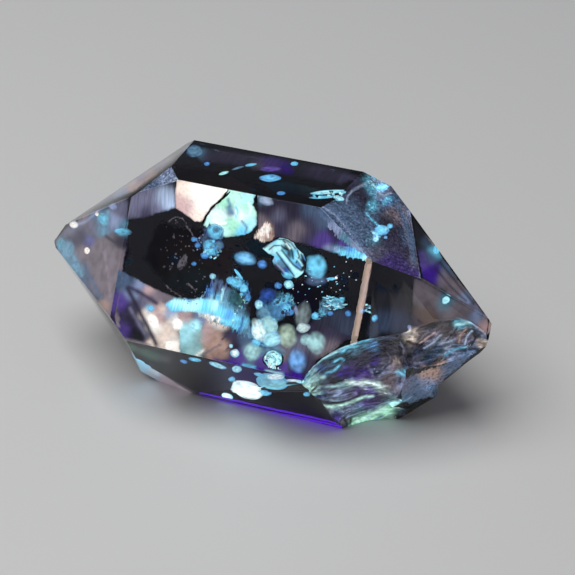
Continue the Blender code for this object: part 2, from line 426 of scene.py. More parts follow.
# painted light on the etched corners: the grey-blue, lavender and pale light that their frost scatters
ETCH_LIGHT_DABS = [
    (325, 211, 6, STEEL), (335, 218, 8, STEEL * 1.1), (345, 215, 10, STEEL * 1.1),
    (352, 232, 10, STEEL * 1.2), (358, 246, 9, STEEL), (365, 222, 9, STEEL * 1.1),
    (368, 255, 7, DULL_LAVENDER), (358, 197, 8, DUSK), (352, 203, 6, STEEL), (376, 185, 7, AQUA * 0.8),
    (383, 183, 6, PALE_LAVENDER), (390, 188, 6, VIOLET_GREY), (383, 194, 5, LAVENDER), (389, 201, 5, BLUE),
    (373, 206, 4, AQUA), (380, 208, 5, STEEL), (393, 211, 7, PINK_GREY), (400, 216, 6, PINK_GREY),
    (388, 220, 7, DUSK), (396, 232, 8, DUSK), (392, 246, 8, VIOLET_GREY), (372, 240, 6, TEAL_GREY),
    (380, 252, 6, DULL_LAVENDER * 0.7), (405, 232, 5, STEEL), (412, 240, 6, STEEL),
    (409, 256, 7, VIOLET_GREY), (416, 262, 6, DULL_LAVENDER), (388, 262, 8, VIOLET * 0.6),
    (402, 270, 9, VIOLET * 0.6), (416, 275, 6, VIOLET * 0.8), (396, 202, 6, STEEL),
    (408, 216, 6, LAVENDER * 0.7), (140, 190, 6, LAVENDER), (150, 184, 7, STEEL * 1.3),
    (165, 178, 7, LAVENDER * 1.2), (174, 184, 5, PALE_LAVENDER),
]
# painted light on the etched corners: pale lines of light scattered by the frost, and darker lines
ETCH_LIGHT_STROKES = [
    ([(346, 202), (348, 196), (352, 191), (360, 186.5), (369, 182), (380, 180)], 0.8, PALE_LAVENDER),
    ([(400, 219), (405, 230), (410, 247), (412, 263)], 0.8, DULL_LAVENDER),
    ([(409, 211), (415, 226), (418.5, 240), (420.5, 257), (420, 277)], 0.9, LAVENDER),
    ([(406, 220), (411, 236), (414, 252)], 0.8, STEEL), ([(366, 213), (372, 220), (379, 226)], 0.9, AQUA),
    ([(398, 206), (405, 222), (411, 240), (414, 262)], 2.0, STEEL),
    ([(403, 206), (411, 222), (417, 244)], 1.0, DULL_LAVENDER),
    ([(330, 208), (341, 217), (350, 229), (360, 243)], 3.5, STEEL * 1.3),
    ([(372, 184), (377, 188), (386, 186)], 1.0, PALE_AQUA),
    ([(371, 179), (380, 183), (388, 190)], 1.0, LAVENDER),
    ([(378, 192), (384, 196), (391, 193)], 1.0, PALE_LAVENDER),
    ([(384, 203), (387, 198), (391, 199)], 1.6, AQUA),
    ([(321, 206), (334, 214), (346, 228), (358, 244), (370, 259)], 0.9, LAVENDER),
]
NIGHT_WEIGHT = 0.05
STROKE_REACH = 2.5
# painted light and shade of the relief: ridges and crests are painted lighter, the hollows between them
# darker
SHADE_BETWEEN_RIDGES = 0.33
COARSE_RIDGE_HIGHLIGHT = 0.95
FINE_RIDGE_HIGHLIGHT = 0.65
SHADE_BETWEEN_CRESTS = 0.6
CREST_HIGHLIGHT = 0.9
tint = body.verts.layers.float_color.new("tint")


def dabbed(spot, dabs):
    """The mixed colour of the dabs near a spot of the picture."""
    total = NIGHT_WEIGHT
    colour = NIGHT * NIGHT_WEIGHT
    for x, y, radius, paint in dabs:
        weight = exp(-((spot - Vector((x, y))).length / radius) ** 2)
        total += weight
        colour = colour + paint * weight
    return colour / total


def nearest_on(spot, points):
    """The nearest spot on a line through some points."""
    near = []
    for first, second in zip(points, points[1:]):
        start, run = Vector(first), Vector(second) - Vector(first)
        along = min(1, max(0, (spot - start).dot(run) / run.length_squared))
        near.append(start + run * along)
    return min(near, key=lambda place: (spot - place).length_squared)


def from_line(spot, points):
    """How far a spot is from a line through some points, in pixels."""
    return (spot - nearest_on(spot, points)).length


def is_within(spot, rim):
    """Whether a spot lies inside a closed line: a ray to its right crosses it an odd number of times."""
    crossed = 0
    for first, second in zip(rim, rim[1:]):
        if (first.y > spot.y) != (second.y > spot.y):
            crossed += spot.x < first.x + (spot.y - first.y) * (second.x - first.x) / (second.y - first.y)
    return crossed % 2 == 1


def stroked(colour, spot, strokes):
    """A colour with thin strokes drawn over it."""
    for points, width, paint in strokes:
        reach = width * STROKE_REACH
        if min(x for x, _ in points) - reach < spot.x < max(x for x, _ in points) + reach:
            colour = colour.lerp(paint, exp(-(from_line(spot, points) / width) ** 2))
    return colour


# each corner of the break and of the etched faces takes painted light from the dabs and strokes, lighter on
# ridges and crests
for vert in body.verts:
    round_it = {face.material_index for face in vert.link_faces}
    spot = in_picture(vert.co)
    if BROKEN in round_it:
        coarse, fine = hackle(vert.co)
        relief_light = SHADE_BETWEEN_RIDGES + COARSE_RIDGE_HIGHLIGHT * coarse + FINE_RIDGE_HIGHLIGHT * fine
        vert[tint] = (*stroked(dabbed(spot, BREAK_LIGHT_DABS) * relief_light, spot, BREAK_LIGHT_STROKES), 1)
    elif ETCHED in round_it:
        relief_light = SHADE_BETWEEN_CRESTS + CREST_HIGHLIGHT * squiggle(vert.co)
        vert[tint] = (*stroked(dabbed(spot, ETCH_LIGHT_DABS) * relief_light, spot, ETCH_LIGHT_STROKES), 1)
print("dabs:", len(BREAK_LIGHT_DABS), "on the break,", len(ETCH_LIGHT_DABS), "on the etched corners")

# %% [markdown]
# The edges between growth faces are sharp but not razor sharp. A tiny bevel lets each of them catch the
# light, as the real worn edges do, and its faces also glow with a painted rose highlight. The rims of the
# break stay as sharp as they broke.

# %% Bevel the growth edges
EDGE_WEAR = 0.035 * MM
LEAST_EDGE_ANGLE = radians(6)


def is_growth_edge(edge):
    """Whether two growth faces meet at an edge, away from the break."""
    return (len(edge.link_faces) == 2 and edge.calc_face_angle() > LEAST_EDGE_ANGLE
            and all(face.material_index != BROKEN for face in edge.link_faces)
            and all(face.material_index != BROKEN for vert in edge.verts for face in vert.link_faces))


sharp = [edge for edge in body.edges if is_growth_edge(edge)]
worn_faces = bmesh.ops.bevel(body, geom=sharp, offset=EDGE_WEAR, offset_type="OFFSET", affect="EDGES",
                             segments=2, profile=0.5, material=-1, clamp_overlap=True)["faces"]
# the bevel faces take the worn finish, which also glows with a painted rose highlight
for face in worn_faces:
    if face.material_index == CLEAR:
        face.material_index = WORN_GLINT
print("worn edges:", len(sharp), "in", len(worn_faces), "faces")

# %% [markdown]
# ## Paint kit
# Materials are node trees. A small class wraps a socket, so that arithmetic on it writes the Math nodes, and
# one method adds any other node with its settings and its inputs.

# %% Paint kit
class Value:
    """A number that changes over a surface: arithmetic on it adds Math nodes to its material."""

    def __init__(self, paint, socket):
        self.paint = paint
        self.socket = socket

    def math(self, operation, *others, first=None):
        inputs = [self if first is None else first, *(others if first is None else (self,))]
        return self.paint.node("ShaderNodeMath", {"operation": operation}, dict(enumerate(inputs)))

    def __add__(self, other):
        return self.math("ADD", other)

    def __mul__(self, other):
        return self.math("MULTIPLY", other)

    __radd__ = __add__
    __rmul__ = __mul__

    def __sub__(self, other):
        return self.math("SUBTRACT", other)

    def __rsub__(self, other):
        return self.math("SUBTRACT", first=other)

    def between(self, low, high):
        """0 below low, 1 above high, and smooth from one to the other."""
        settings = {"interpolation_type": "SMOOTHSTEP"}
        return self.paint.node("ShaderNodeMapRange", settings,
                               {"Value": self, "From Min": low, "From Max": high})


class Paint:
    """A material and the nodes that make it."""

    def __init__(self, name):
        self.material = bpy.data.materials.new(name)
        self.material.use_nodes = True
        self.tree = self.material.node_tree
        self.shader = self.tree.nodes["Principled BSDF"]
        self.output = self.tree.nodes["Material Output"]

    def node(self, kind, settings=None, inputs=None, out=0):
        made = self.tree.nodes.new(kind)
        for name, value in (settings or {}).items():
            setattr(made, name, value)
        for name, value in (inputs or {}).items():
            self.feed(made.inputs[name], value)
        return Value(self, made.outputs[out])

    def feed(self, socket, value):
        if isinstance(value, Value):
            self.tree.links.new(value.socket, socket)
        else:
            socket.default_value = value

    def surface(self, **inputs):
        for name, value in inputs.items():
            self.feed(self.shader.inputs[name.replace("_", " ")], value)

    def place(self, stretch=(1, 1, 1)):
        """Object coordinates in mm, stretched along each axis."""
        coords = self.node("ShaderNodeTexCoord", out="Object")
        scale = [share / MM for share in stretch]
        return self.node("ShaderNodeVectorMath", {"operation": "MULTIPLY"}, {0: coords, 1: scale})

    def cloud(self, per_mm, detail=3, stretch=(1, 1, 1), rough=0.5):
        """Soft noise from 0 to 1, with this many patches in a mm."""
        inputs = {"Vector": self.place(stretch), "Scale": per_mm, "Detail": detail, "Roughness": rough}
        return self.node("ShaderNodeTexNoise", None, inputs)

    def blend(self, factor, first, second):
        """A colour between two, by a factor from 0 to 1."""
        inputs = {"Factor": factor, 6: first, 7: second}
        return self.node("ShaderNodeMix", {"data_type": "RGBA"}, inputs, out=2)

    def dimmed(self, colour, share):
        """A colour times a number from 0 to 1."""
        return self.blend(share, (0, 0, 0, 1), colour)

    def painted(self, name):
        """The colour that the mesh carries in an attribute, and its fourth value."""
        kept = {"attribute_type": "GEOMETRY", "attribute_name": name}
        return [self.node("ShaderNodeAttribute", kept, out=part) for part in ("Color", "Alpha")]

    def bump(self, height, depth, strength=1.0):
        """Bump from a height of 0 to 1 that stands for a depth in mm."""
        inputs = {"Height": height, "Distance": depth * MM, "Strength": strength}
        return self.node("ShaderNodeBump", None, inputs, out="Normal")


print("paint kit ready")

# %% [markdown]
# ## Quartz
# Clear quartz is see-through, with a refractive index of 1.544. In the photograph the inside is nearly black
# wherever nothing glows, so a plain volume absorption darkens what is seen through several millimetres.

# %% Quartz materials
QUARTZ_TINT = (0.97, 0.975, 1.0, 1)
ABSORPTION_TINT = (0.0, 0.0, 0.06, 1)
CLEAR_ROUGHNESS = 0.015
ETCHED_ROUGHNESS = 0.22
WORN_ROUGHNESS = 0.35
BROKEN_ROUGHNESS = 0.04
STRIA_DEPTH = 0.0015
FROST_DEPTH = 0.02
HACKLE_DEPTH = 0.012
ETCHED_GLOW = 1.85
WORN_GLOW = 0.55
BROKEN_GLOW = 1.15
SQUARE_TO_AXIS = (1, 0.03, 0.03)
ALONG_BREAK = (0.3, 1, 1)


def quartz(name, roughness):
    """See-through quartz of one finish."""
    paint = Paint(name)
    paint.surface(Base_Color=QUARTZ_TINT, Roughness=roughness, IOR=QUARTZ_IOR, Transmission_Weight=1.0)
    inside = paint.tree.nodes.new("ShaderNodeVolumeAbsorption")
    inside.inputs["Color"].default_value = ABSORPTION_TINT
    inside.inputs["Density"].default_value = ABSORBED_PER_MM / MM
    paint.tree.links.new(inside.outputs[0], paint.output.inputs["Volume"])
    return paint


clear = quartz("clear_quartz", CLEAR_ROUGHNESS)
striae = clear.cloud(9, 2, stretch=SQUARE_TO_AXIS)
clear.surface(Normal=clear.bump(striae, STRIA_DEPTH))
etched = quartz("etched_quartz", ETCHED_ROUGHNESS)
etched.surface(Normal=etched.bump(etched.cloud(14, 4), FROST_DEPTH))
# the etched faces glow with the painted light of their dabs, broken into speckles: the sparkle of light
# scattered by the frost
patches = etched.cloud(11, 3).between(0.35, 0.68)
grains = etched.cloud(24, 2).between(0.5, 0.66)
speckle = patches * 0.3 + grains * 0.6 + 0.16
speckled_tint = etched.dimmed(etched.painted("tint")[0], speckle)
etched.surface(Emission_Color=speckled_tint, Emission_Strength=ETCHED_GLOW)
# worn bevels are rougher and glow rose: a painted highlight along the edges
worn_glint = quartz("worn_glint_quartz", WORN_ROUGHNESS)
worn_glint.surface(Emission_Color=(*ROSE, 1), Emission_Strength=WORN_GLOW)
broken = quartz("broken_quartz", BROKEN_ROUGHNESS)
broken.surface(Normal=broken.bump(broken.cloud(10, 4, stretch=ALONG_BREAK), HACKLE_DEPTH))
# the broken faces glow with the painted light of their dabs, broken into streaks along the break
streaks = broken.cloud(6, 5, stretch=ALONG_BREAK, rough=0.6).between(0.32, 0.66) * 0.6 + 0.4
streaked_tint = broken.dimmed(broken.painted("tint")[0], streaks)
broken.surface(Emission_Color=streaked_tint, Emission_Strength=BROKEN_GLOW)
print("quartz absorbs", round(1 - exp(-ABSORBED_PER_MM), 2), "of the light in each mm")

# %% [markdown]
# The crystal takes the place of the plain solid, with one material for each kind of face. The broken faces
# are shaded smooth up to a sharp angle, and the growth faces stay flat.

# %% Finish the crystal
CREASE_ANGLE = radians(32)


def new_piece(name, mesh, *materials):
    """An object made of a mesh, in the scene, with its materials."""
    data = bpy.data.meshes.new(name)
    mesh.to_mesh(data)
    piece = bpy.data.objects.new(name, data)
    bpy.context.scene.collection.objects.link(piece)
    for material in materials:
        data.materials.append(material)
    return piece


for face in body.faces:
    face.smooth = face.material_index == BROKEN
crystal = new_piece("clear_crystal", body, clear.material, etched.material, broken.material, worn_glint.material)
crystal.data.set_sharp_from_angle(angle=CREASE_ANGLE)
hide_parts("quartz_crystal")
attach(crystal, "root")
print("crystal:", len(crystal.data.polygons), "faces")

# %% [markdown]
# ## Glowing materials
# The oil glows blue in violet light. That glow, and the reflections inside the quartz that some veils stand
# for, are painted in as emission, so these materials are black paint with emission. The mesh carries its
# colour and its cover in the attribute "tint", and noise in mm of the object breaks the colour up: soft
# clouds, fine streaks across the crystal's long axis as on its growth faces, or coarse blotches. Each of the
# five functions below gives the share of the painted colour that glows at a place. Two of the films also
# have a frayed edge.

# %% Glowing materials
def glowing(share, fray_per_mm):
    """Black paint that glows with the painted colour times a share, and may have a frayed edge."""
    paint = Paint("veil_" + share.__name__)
    colour, cover = paint.painted("tint")
    if fray_per_mm:
        fray = paint.cloud(fray_per_mm, 3, stretch=FRAY_STRETCH).between(0.35, 0.65)
        cover = (cover * 2 + fray - 1).between(0, 1)
    paint.surface(Base_Color=(0, 0, 0, 1), Roughness=0.5, Specular_IOR_Level=0.0, Emission_Strength=1.0,
                  Emission_Color=paint.dimmed(colour, share(paint)), Alpha=cover)
    paint.material.cycles.emission_sampling = "NONE"
    return paint.material


def clouded(paint):
    return paint.cloud(2.5, 4).between(0.2, 0.7) * 0.4 + 0.6


def streaked(paint):
    return paint.cloud(15, 3, stretch=(1, 0.07, 0.07)).between(0.34, 0.64) * 0.28 + 0.72


def combed(paint):
    comb = paint.cloud(24, 3, stretch=(1, 0.10, 0.10)).between(0.36, 0.62)
    return comb * 0.28 + paint.cloud(6, 4).between(0.3, 0.6) * 0.3 + 0.42


def blotched(paint):
    return paint.cloud(9, 5, rough=0.6).between(0.36, 0.56) * 0.7 + 0.3


def plain(paint):
    return paint.cloud(7, 3).between(0.2, 0.6) * 0.25 + 0.75


FRAY_STRETCH = (1, 0.3, 0.3)
FRAYS_PER_MM = {clouded: 0, streaked: 0, combed: 16, blotched: 12, plain: 0}
GLOWS = [glowing(share, per_mm) for share, per_mm in FRAYS_PER_MM.items()]
CLOUDED, STREAKED, COMBED, BLOTCHED, PLAIN = range(len(GLOWS))
print("glowing materials:", [material.name for material in GLOWS])

# %% [markdown]
# ## Veils of oil on healed cracks, and painted reflections
# While the crystal grew it cracked and healed again, and oil stayed on the healed cracks in thin veils. Some
# veils stand for that oil, and some are painted reflections of light bouncing inside the quartz. Each veil
# is
# drawn as it is seen: its outline in pixels of the picture, cut by a fine grid and coloured by dabs.
# Then each corner is carried along its bent line of sight to a depth behind the face it is seen through, and
# the sheet gets a thickness. Light is lost on the way out, so a deeper veil glows more.

# %% Veil maker
# sizes ending in _GRID, _WIDTH and _FADE are in pixels, WAVE_HEIGHT is in mm
VEIL_GRID = 2.5
VEIL_THICKNESS = 0.008 * MM
SKIN_GAP = 0.02 * MM
RAGGED_PER_PIXEL = 0.35
WAVE_HEIGHT = 0.12
WAVE_PER_PIXEL = 0.03
RIM_SHARE = 0.06
RIM_WIDTH = 50
RIM_FADE = 4
WELL_INSIDE = 0.99


def keep_inside(place):
    """The place itself, or the nearest one that is a little under the skin of the crystal."""
    nearest, normal, _, _ = skin.find_nearest(place)
    if (place - nearest).dot(normal) > -SKIN_GAP:
        return nearest - normal * SKIN_GAP
    return place


def rim_share(facet, spot):
    """The share of its depth that a spot keeps: all of it, or less near the rim of the front face."""
    if facet is not FRONT:
        return 1
    return min(1, RIM_SHARE + from_line(spot, FRONT_RIM) / RIM_WIDTH)


def add_to(target, part):
    """Adds one mesh to another and frees it."""
    data = bpy.data.meshes.new("part")
    part.to_mesh(data)
    target.from_mesh(data)
    bpy.data.meshes.remove(data)
    part.free()


def veil(target, facet, depth, corners, dabs, look=CLOUDED, soft=3.0, cover=1.0, ragged=1.0, grid=VEIL_GRID,
         gain=1.0, strokes=(), carry=look_in):
    """A thin sheet seen through a facet, from an outline in pixels and dabs of colour."""
    sheet = bmesh.new()
    sheet.faces.new([sheet.verts.new((x, y, 0)) for x, y in corners])
    for axis in range(2):
        low, high = (pick(corner[axis] for corner in corners) for pick in (min, max))
        for step in range(1, int((high - low) / grid) + 1):
            cut_at, way = Vector((0, 0, 0)), Vector((0, 0, 0))
            cut_at[axis], way[axis] = low + step * grid, 1
            whole = [*sheet.verts, *sheet.edges, *sheet.faces]
            bmesh.ops.bisect_plane(sheet, geom=whole, plane_co=cut_at, plane_no=way)
    layer = sheet.verts.layers.float_color.new("tint")
    for vert in sheet.verts:
        spot = vert.co.xy
        if facet is FRONT and not is_within(spot, FRONT_RIM):
            spot = nearest_on(spot, FRONT_RIM)
        down = depth * rim_share(facet, spot)
        edge = min(1, from_line(spot, corners + corners[:1]) / soft) if soft else 1
        if facet is FRONT:
            edge = max(edge, 1 - from_line(spot, FRONT_RIM) / RIM_FADE)
        colour = stroked(dabbed(spot, dabs), spot, strokes) * exp(ABSORBED_PER_MM * down) * gain
        vert[layer] = (*colour, cover * edge * edge * (3 - 2 * edge))
        reach = 0 if edge > WELL_INSIDE and soft else ragged
        pull = noise.noise_vector(vert.co * RAGGED_PER_PIXEL) * reach
        wave = WAVE_HEIGHT * noise.noise(vert.co * WAVE_PER_PIXEL) if down > WAVE_HEIGHT * 2 else 0
        vert.co = keep_inside(carry(facet, spot.x + pull.x, spot.y + pull.y, down + wave))
    slab = bmesh.ops.extrude_face_region(sheet, geom=sheet.faces[:], use_keep_orig=True)
    pushed = [part for part in slab["geom"] if isinstance(part, bmesh.types.BMVert)]
    bmesh.ops.translate(sheet, verts=pushed, vec=facet[1] * -VEIL_THICKNESS)
    bmesh.ops.recalc_face_normals(sheet, faces=sheet.faces)
    for face in sheet.faces:
        face.material_index = look
        face.smooth = True
    add_to(target, sheet)


print("veil maker ready")

# %% [markdown]
# The front veil is seen through the big front face. It is cream and mint along the upper edge, violet-grey
# to the right, and cream, teal and tan along the lower edge, round a dark window where the quartz is clean.
# The cream patch at the upper edge is a painted reflection of light bouncing inside the quartz.

# %% Veils behind the front face
VEIL_DEPTH = 1.5
front = bmesh.new()
# the cream patch: a painted reflection of light bouncing inside the quartz
CREAM_REFLECTION_DABS = [
    (184, 191, 7, PEACH), (199, 193, 9, CREAM), (213, 199, 9, CREAM), (185, 206, 8, ROSE),
    (199, 215, 7, PEACH), (205, 205, 8, CREAM), (225, 195, 6, CREAM), (178, 198, 5, ROSE),
]
CREAM_REFLECTION_OUTLINE = [
    (177, 176), (229.5, 187), (221, 199), (211, 208), (207, 215), (202, 223), (195, 223), (186, 216),
    (175, 209), (175, 196),
]
veil(front, FRONT, VEIL_DEPTH, CREAM_REFLECTION_OUTLINE, CREAM_REFLECTION_DABS, look=PLAIN, soft=1.5, gain=1.5)
MINT_DABS = [
    (224, 203, 6, GREEN_ICE), (234, 197, 6, MINT), (247, 199, 5, PALE_AQUA), (240, 215, 6, ICE),
    (233, 225, 6, GREEN_ICE), (217, 217, 7, ICE), (210, 223, 5, MINT), (249, 224, 5, PALE_AQUA),
    (243, 232, 5, AQUA), (231, 213, 3, STEEL), (224, 231, 5, MINT), (251, 211, 5, MINT),
    (216, 232, 5, AQUA), (229, 208, 3, TEAL_GREY), (238, 204, 5, MINT), (245, 209, 4, GREEN_ICE),
]
MINT_STROKES = [
    ([(228, 200), (230, 205), (229, 210), (233, 214)], 1.4, TEAL_GREY),
    ([(236, 207), (238, 212), (236, 218)], 1.0, AQUA),
    ([(242, 222), (247, 228), (245, 234)], 1.2, TEAL_GREY),
    ([(213, 221), (219, 225), (226, 224)], 1.0, CREAM), ([(248, 203), (251, 209), (249, 216)], 1.0, ICE),
]
MINT_OUTLINE = [
    (230.5, 187), (241, 189), (256, 192), (253, 205), (257, 213), (257, 226), (251, 233), (245, 236),
    (226, 239), (213, 234), (203, 226), (208, 215), (213, 208), (222, 200),
]
veil(front, FRONT, VEIL_DEPTH - 0.1, MINT_OUTLINE, MINT_DABS, look=PLAIN, soft=2, gain=1.45, grid=1.5,
     strokes=MINT_STROKES)
LAVENDER_DABS = [
    (136, 206, 8, DULL_LAVENDER), (150, 199, 7, DULL_LAVENDER), (164, 199, 7, PALE_LAVENDER),
    (171, 203, 6, PALE_LAVENDER * 1.4), (155, 208, 6, DULL_LAVENDER), (146, 212, 6, VIOLET_GREY),
]
LAVENDER_OUTLINE = [(128, 194), (138, 188), (176, 177), (176, 209), (162, 214), (147, 219), (126, 220)]
veil(front, FRONT, VEIL_DEPTH, LAVENDER_OUTLINE, LAVENDER_DABS, look=STREAKED, soft=4, gain=1.35)
VIOLET_BAND_DABS = [
    (268, 208, 8, DUSK), (262, 199, 5, TEAL_GREY), (312, 212, 8, STEEL), (322, 222, 7, STEEL),
    (279, 216, 6, DULL_LAVENDER), (260, 222, 6, PINK_GREY), (266, 230, 5, TAN), (258, 237, 5, TAN),
    (291, 213, 9, DUSK), (282, 228, 7, VIOLET_GREY), (296, 232, 8, PINK_GREY), (312, 222, 8, VIOLET_GREY),
    (306, 240, 8, VIOLET_GREY), (316, 245, 6, VIOLET), (324, 238, 6, VIOLET), (327, 250, 4, LAVENDER),
    (338, 253, 4, AQUA), (350, 255, 4, AQUA), (332, 230, 6, DUSK), (290, 244, 5, PINK_GREY),
    (345, 246, 5, VIOLET), (358, 246, 5, LAVENDER), (366, 253, 5, AQUA),
]
VIOLET_BAND_OUTLINE = [
    (257, 192), (290, 198), (321, 204), (332, 214), (346, 229), (362, 246), (372, 258), (352, 259),
    (330, 253), (305, 246), (284, 242), (262, 241), (257, 230),
]
veil(front, FRONT, VEIL_DEPTH, VIOLET_BAND_OUTLINE, VIOLET_BAND_DABS, look=STREAKED, soft=4)
LOWER_LEFT_STROKES = [
    ([(128, 288), (137, 304), (148, 325), (156, 344)], 2.6, DUSK),
    ([(131, 308), (139, 322), (147, 337)], 1.8, DULL_LAVENDER),
    ([(130, 287), (142, 293), (158, 303)], 2.0, VIOLET_GREY),
    ([(122, 338), (134, 341), (150, 345)], 1.2, PINK_GREY),
]
LOWER_LEFT_DABS = [
    (126, 285, 6, STEEL), (133, 293, 6, LAVENDER), (142, 284, 5, LAVENDER), (122, 277, 5, STEEL),
    (150, 290, 5, ROSE), (155, 298, 7, PINK_GREY), (171, 299, 6, PINK_GREY), (142, 302, 6, DULL_LAVENDER),
    (158, 309, 6, ROSE), (151, 308, 3, AQUA), (163, 309, 4, PEACH), (121, 303, 7, VIOLET),
    (127, 317, 8, DUSK), (122, 330, 7, VIOLET * 0.7), (138, 334, 7, NIGHT), (133, 308, 6, DUSK),
    (150, 317, 5, CREAM), (155, 327, 6, CREAM), (176, 321, 5, CREAM), (167, 334, 6, PEACH),
    (173, 345, 6, CREAM), (161, 319, 4, ROSE), (163, 341, 5, PEACH), (145, 314, 4, PEACH),
    (168, 325, 3, PEACH), (172, 312, 5, PALE_LAVENDER), (141, 324, 4, VIOLET_GREY), (147, 336, 4, DUSK),
    (152, 341, 4, PEACH),
]
LOWER_LEFT_OUTLINE = [
    (112, 270), (124, 271), (150, 285), (176, 297), (182, 312), (182, 330), (180, 357), (154, 351),
    (124, 345), (106, 318), (109, 300),
]
veil(front, FRONT, VEIL_DEPTH, LOWER_LEFT_OUTLINE, LOWER_LEFT_DABS, soft=3, grid=1.5,
     strokes=LOWER_LEFT_STROKES, gain=1.15)
TAN_STROKES = [
    ([(205, 354), (214, 348), (222, 344)], 0.9, PINK_GREY),
    ([(222, 340), (229, 334), (236, 328)], 0.9, VIOLET_GREY), ([(196, 356), (204, 350)], 1.2, CREAM),
    ([(226, 351), (231, 345)], 0.9, VIOLET_GREY),
    ([(214, 360), (230, 363), (262, 370), (300, 378)], 1.6, INDIGO), ([(243, 365), (254, 367)], 1.5, AQUA),
    ([(266, 371), (282, 374.5)], 1.4, PALE_AQUA),
]
TAN_DABS = [
    (186, 328, 6, PALE_AQUA * 1.2), (196, 326, 4, PALE_AQUA), (186, 339, 7, PALE_AQUA),
    (193, 347, 6, PALE_TEAL), (198, 335, 5, PALE_TEAL), (214, 341, 7, TAN * 1.3), (206, 336, 5, ROSE),
    (223, 347, 6, TAN * 1.3), (216, 321, 5, CREAM), (225, 325, 4, PEACH), (230, 335, 5, VIOLET_GREY),
    (209, 327, 4, ROSE), (185, 318, 6, ROSE), (201, 319, 5, LAVENDER), (234, 347, 5, DUSK),
    (240, 357, 6, VIOLET), (252, 352, 6, PALE_TEAL), (262, 362, 6, VIOLET), (246, 340, 5, STEEL),
    (283, 352, 6, PINK_GREY), (285, 368, 4, VIOLET), (192, 353, 5, PALE_TEAL), (214, 354, 5, TAN),
]
TAN_OUTLINE = [
    (177, 307), (200, 309), (216, 310), (236, 318), (252, 332), (264, 342), (286, 344), (292, 382),
    (262, 375), (229, 368), (202, 362), (180, 357),
]
veil(front, FRONT, VEIL_DEPTH, TAN_OUTLINE, TAN_DABS, soft=3, grid=2, strokes=TAN_STROKES)
DIM_FRONT_DABS = [
    (340, 318, 8, seen(56, 64, 84)), (350, 326, 8, seen(60, 68, 90)), (326, 322, 8, seen(48, 50, 66)),
    (348, 306, 7, seen(34, 40, 52)),
]
DIM_FRONT_OUTLINE = [(308, 318), (326, 310), (346, 304), (357, 312), (353, 340), (330, 338), (310, 330)]
veil(front, FRONT, VEIL_DEPTH + 0.25, DIM_FRONT_OUTLINE, DIM_FRONT_DABS, look=STREAKED, soft=8, cover=0.95)
LOWER_RIGHT_DABS = [
    (278, 350, 8, PINK_GREY), (282, 366, 7, VIOLET_GREY), (316, 330, 8, DUSK), (332, 335, 8, VIOLET_GREY),
    (345, 337, 6, DUSK), (320, 348, 8, PINK_GREY), (296, 376, 4, INDIGO), (308, 358, 7, VIOLET_GREY),
    (300, 348, 7, DULL_LAVENDER), (332, 345, 6, PINK_GREY), (302, 366, 5, VIOLET_GREY),
]
LOWER_RIGHT_OUTLINE = [
    (270, 340), (286, 332), (310, 322), (332, 327), (352, 337), (335, 349), (316, 361), (304, 384),
    (268, 376),
]
veil(front, FRONT, VEIL_DEPTH + 0.12, LOWER_RIGHT_OUTLINE, LOWER_RIGHT_DABS, look=STREAKED, soft=4)
BAND_DABS = [
    (171, 305, 5, PALE_AQUA), (182, 305, 6, ICE), (197, 304, 6, ICE), (210, 308, 6, ICE),
    (222, 311, 6, PALE_AQUA), (232, 316, 5, AQUA), (203, 296, 5, TEAL_GREY), (214, 287, 4, STEEL),
    (209, 291, 4, BLUE), (240, 324, 5, AQUA), (226, 299, 5, TEAL_GREY), (236, 304, 5, STEEL),
    (248, 333, 5, TEAL_GREY), (228, 320, 4, AQUA), (176, 312, 4, LAVENDER), (238, 313, 4, TEAL_GREY),
    (222, 289, 4, STEEL), (230, 307, 4, AQUA), (217, 300, 4, AQUA),
]
BAND_STROKES = [
    ([(211, 284), (209, 292), (207, 299)], 1.2, DEEP_BLUE),
    ([(218, 285), (216, 294), (214, 302)], 1.2, DUSK),
    ([(224, 290), (222, 298), (221, 304)], 1.0, PALE_AQUA), ([(214, 315), (213, 321)], 1.4, CREAM),
    ([(218, 314), (219, 322)], 1.2, CREAM), ([(231, 297), (230, 304), (229, 311)], 1.2, DUSK),
    ([(236, 310), (235, 317), (233, 322)], 1.0, PALE_AQUA),
    ([(243, 318), (242, 326), (240, 332)], 1.2, DEEP_BLUE), ([(208, 314), (208, 321)], 1.2, PEACH),
    ([(204, 284), (203, 291)], 1.0, STEEL),
]
BAND_OUTLINE = [
    (192, 300), (202, 292), (209, 276), (213, 266), (219, 270), (228, 280), (242, 290), (253, 300),
    (257, 318), (264, 346), (242, 342), (226, 332), (208, 326), (194, 318),
]
veil(front, FRONT, VEIL_DEPTH - 0.4, BAND_OUTLINE, BAND_DABS, look=COMBED, soft=12, ragged=2.0, gain=1.6,
     grid=1.5, strokes=BAND_STROKES)
BRIGHT_BAND = [
    (164, 304), (174, 297), (196, 298), (212, 297), (230, 304), (242, 322), (226, 321), (208, 316),
    (190, 313), (172, 313),
]
BRIGHT_DABS = [
    (168, 305, 5, AQUA), (176, 302, 4, PALE_AQUA), (186, 306, 5, PALE_AQUA), (197, 304, 5, PALE_AQUA),
    (206, 308, 5, AQUA), (214, 306, 4, PALE_AQUA), (222, 312, 5, AQUA), (230, 316, 4, BLUE),
    (237, 320, 5, AQUA), (190, 299, 3, BLUE), (203, 299, 3, AQUA), (180, 311, 4, AQUA),
    (226, 305, 4, TEAL_GREY),
]
veil(front, FRONT, VEIL_DEPTH - 0.5, BRIGHT_BAND, BRIGHT_DABS, look=STREAKED, soft=5, ragged=1.5, gain=1.75,
     grid=1.5)
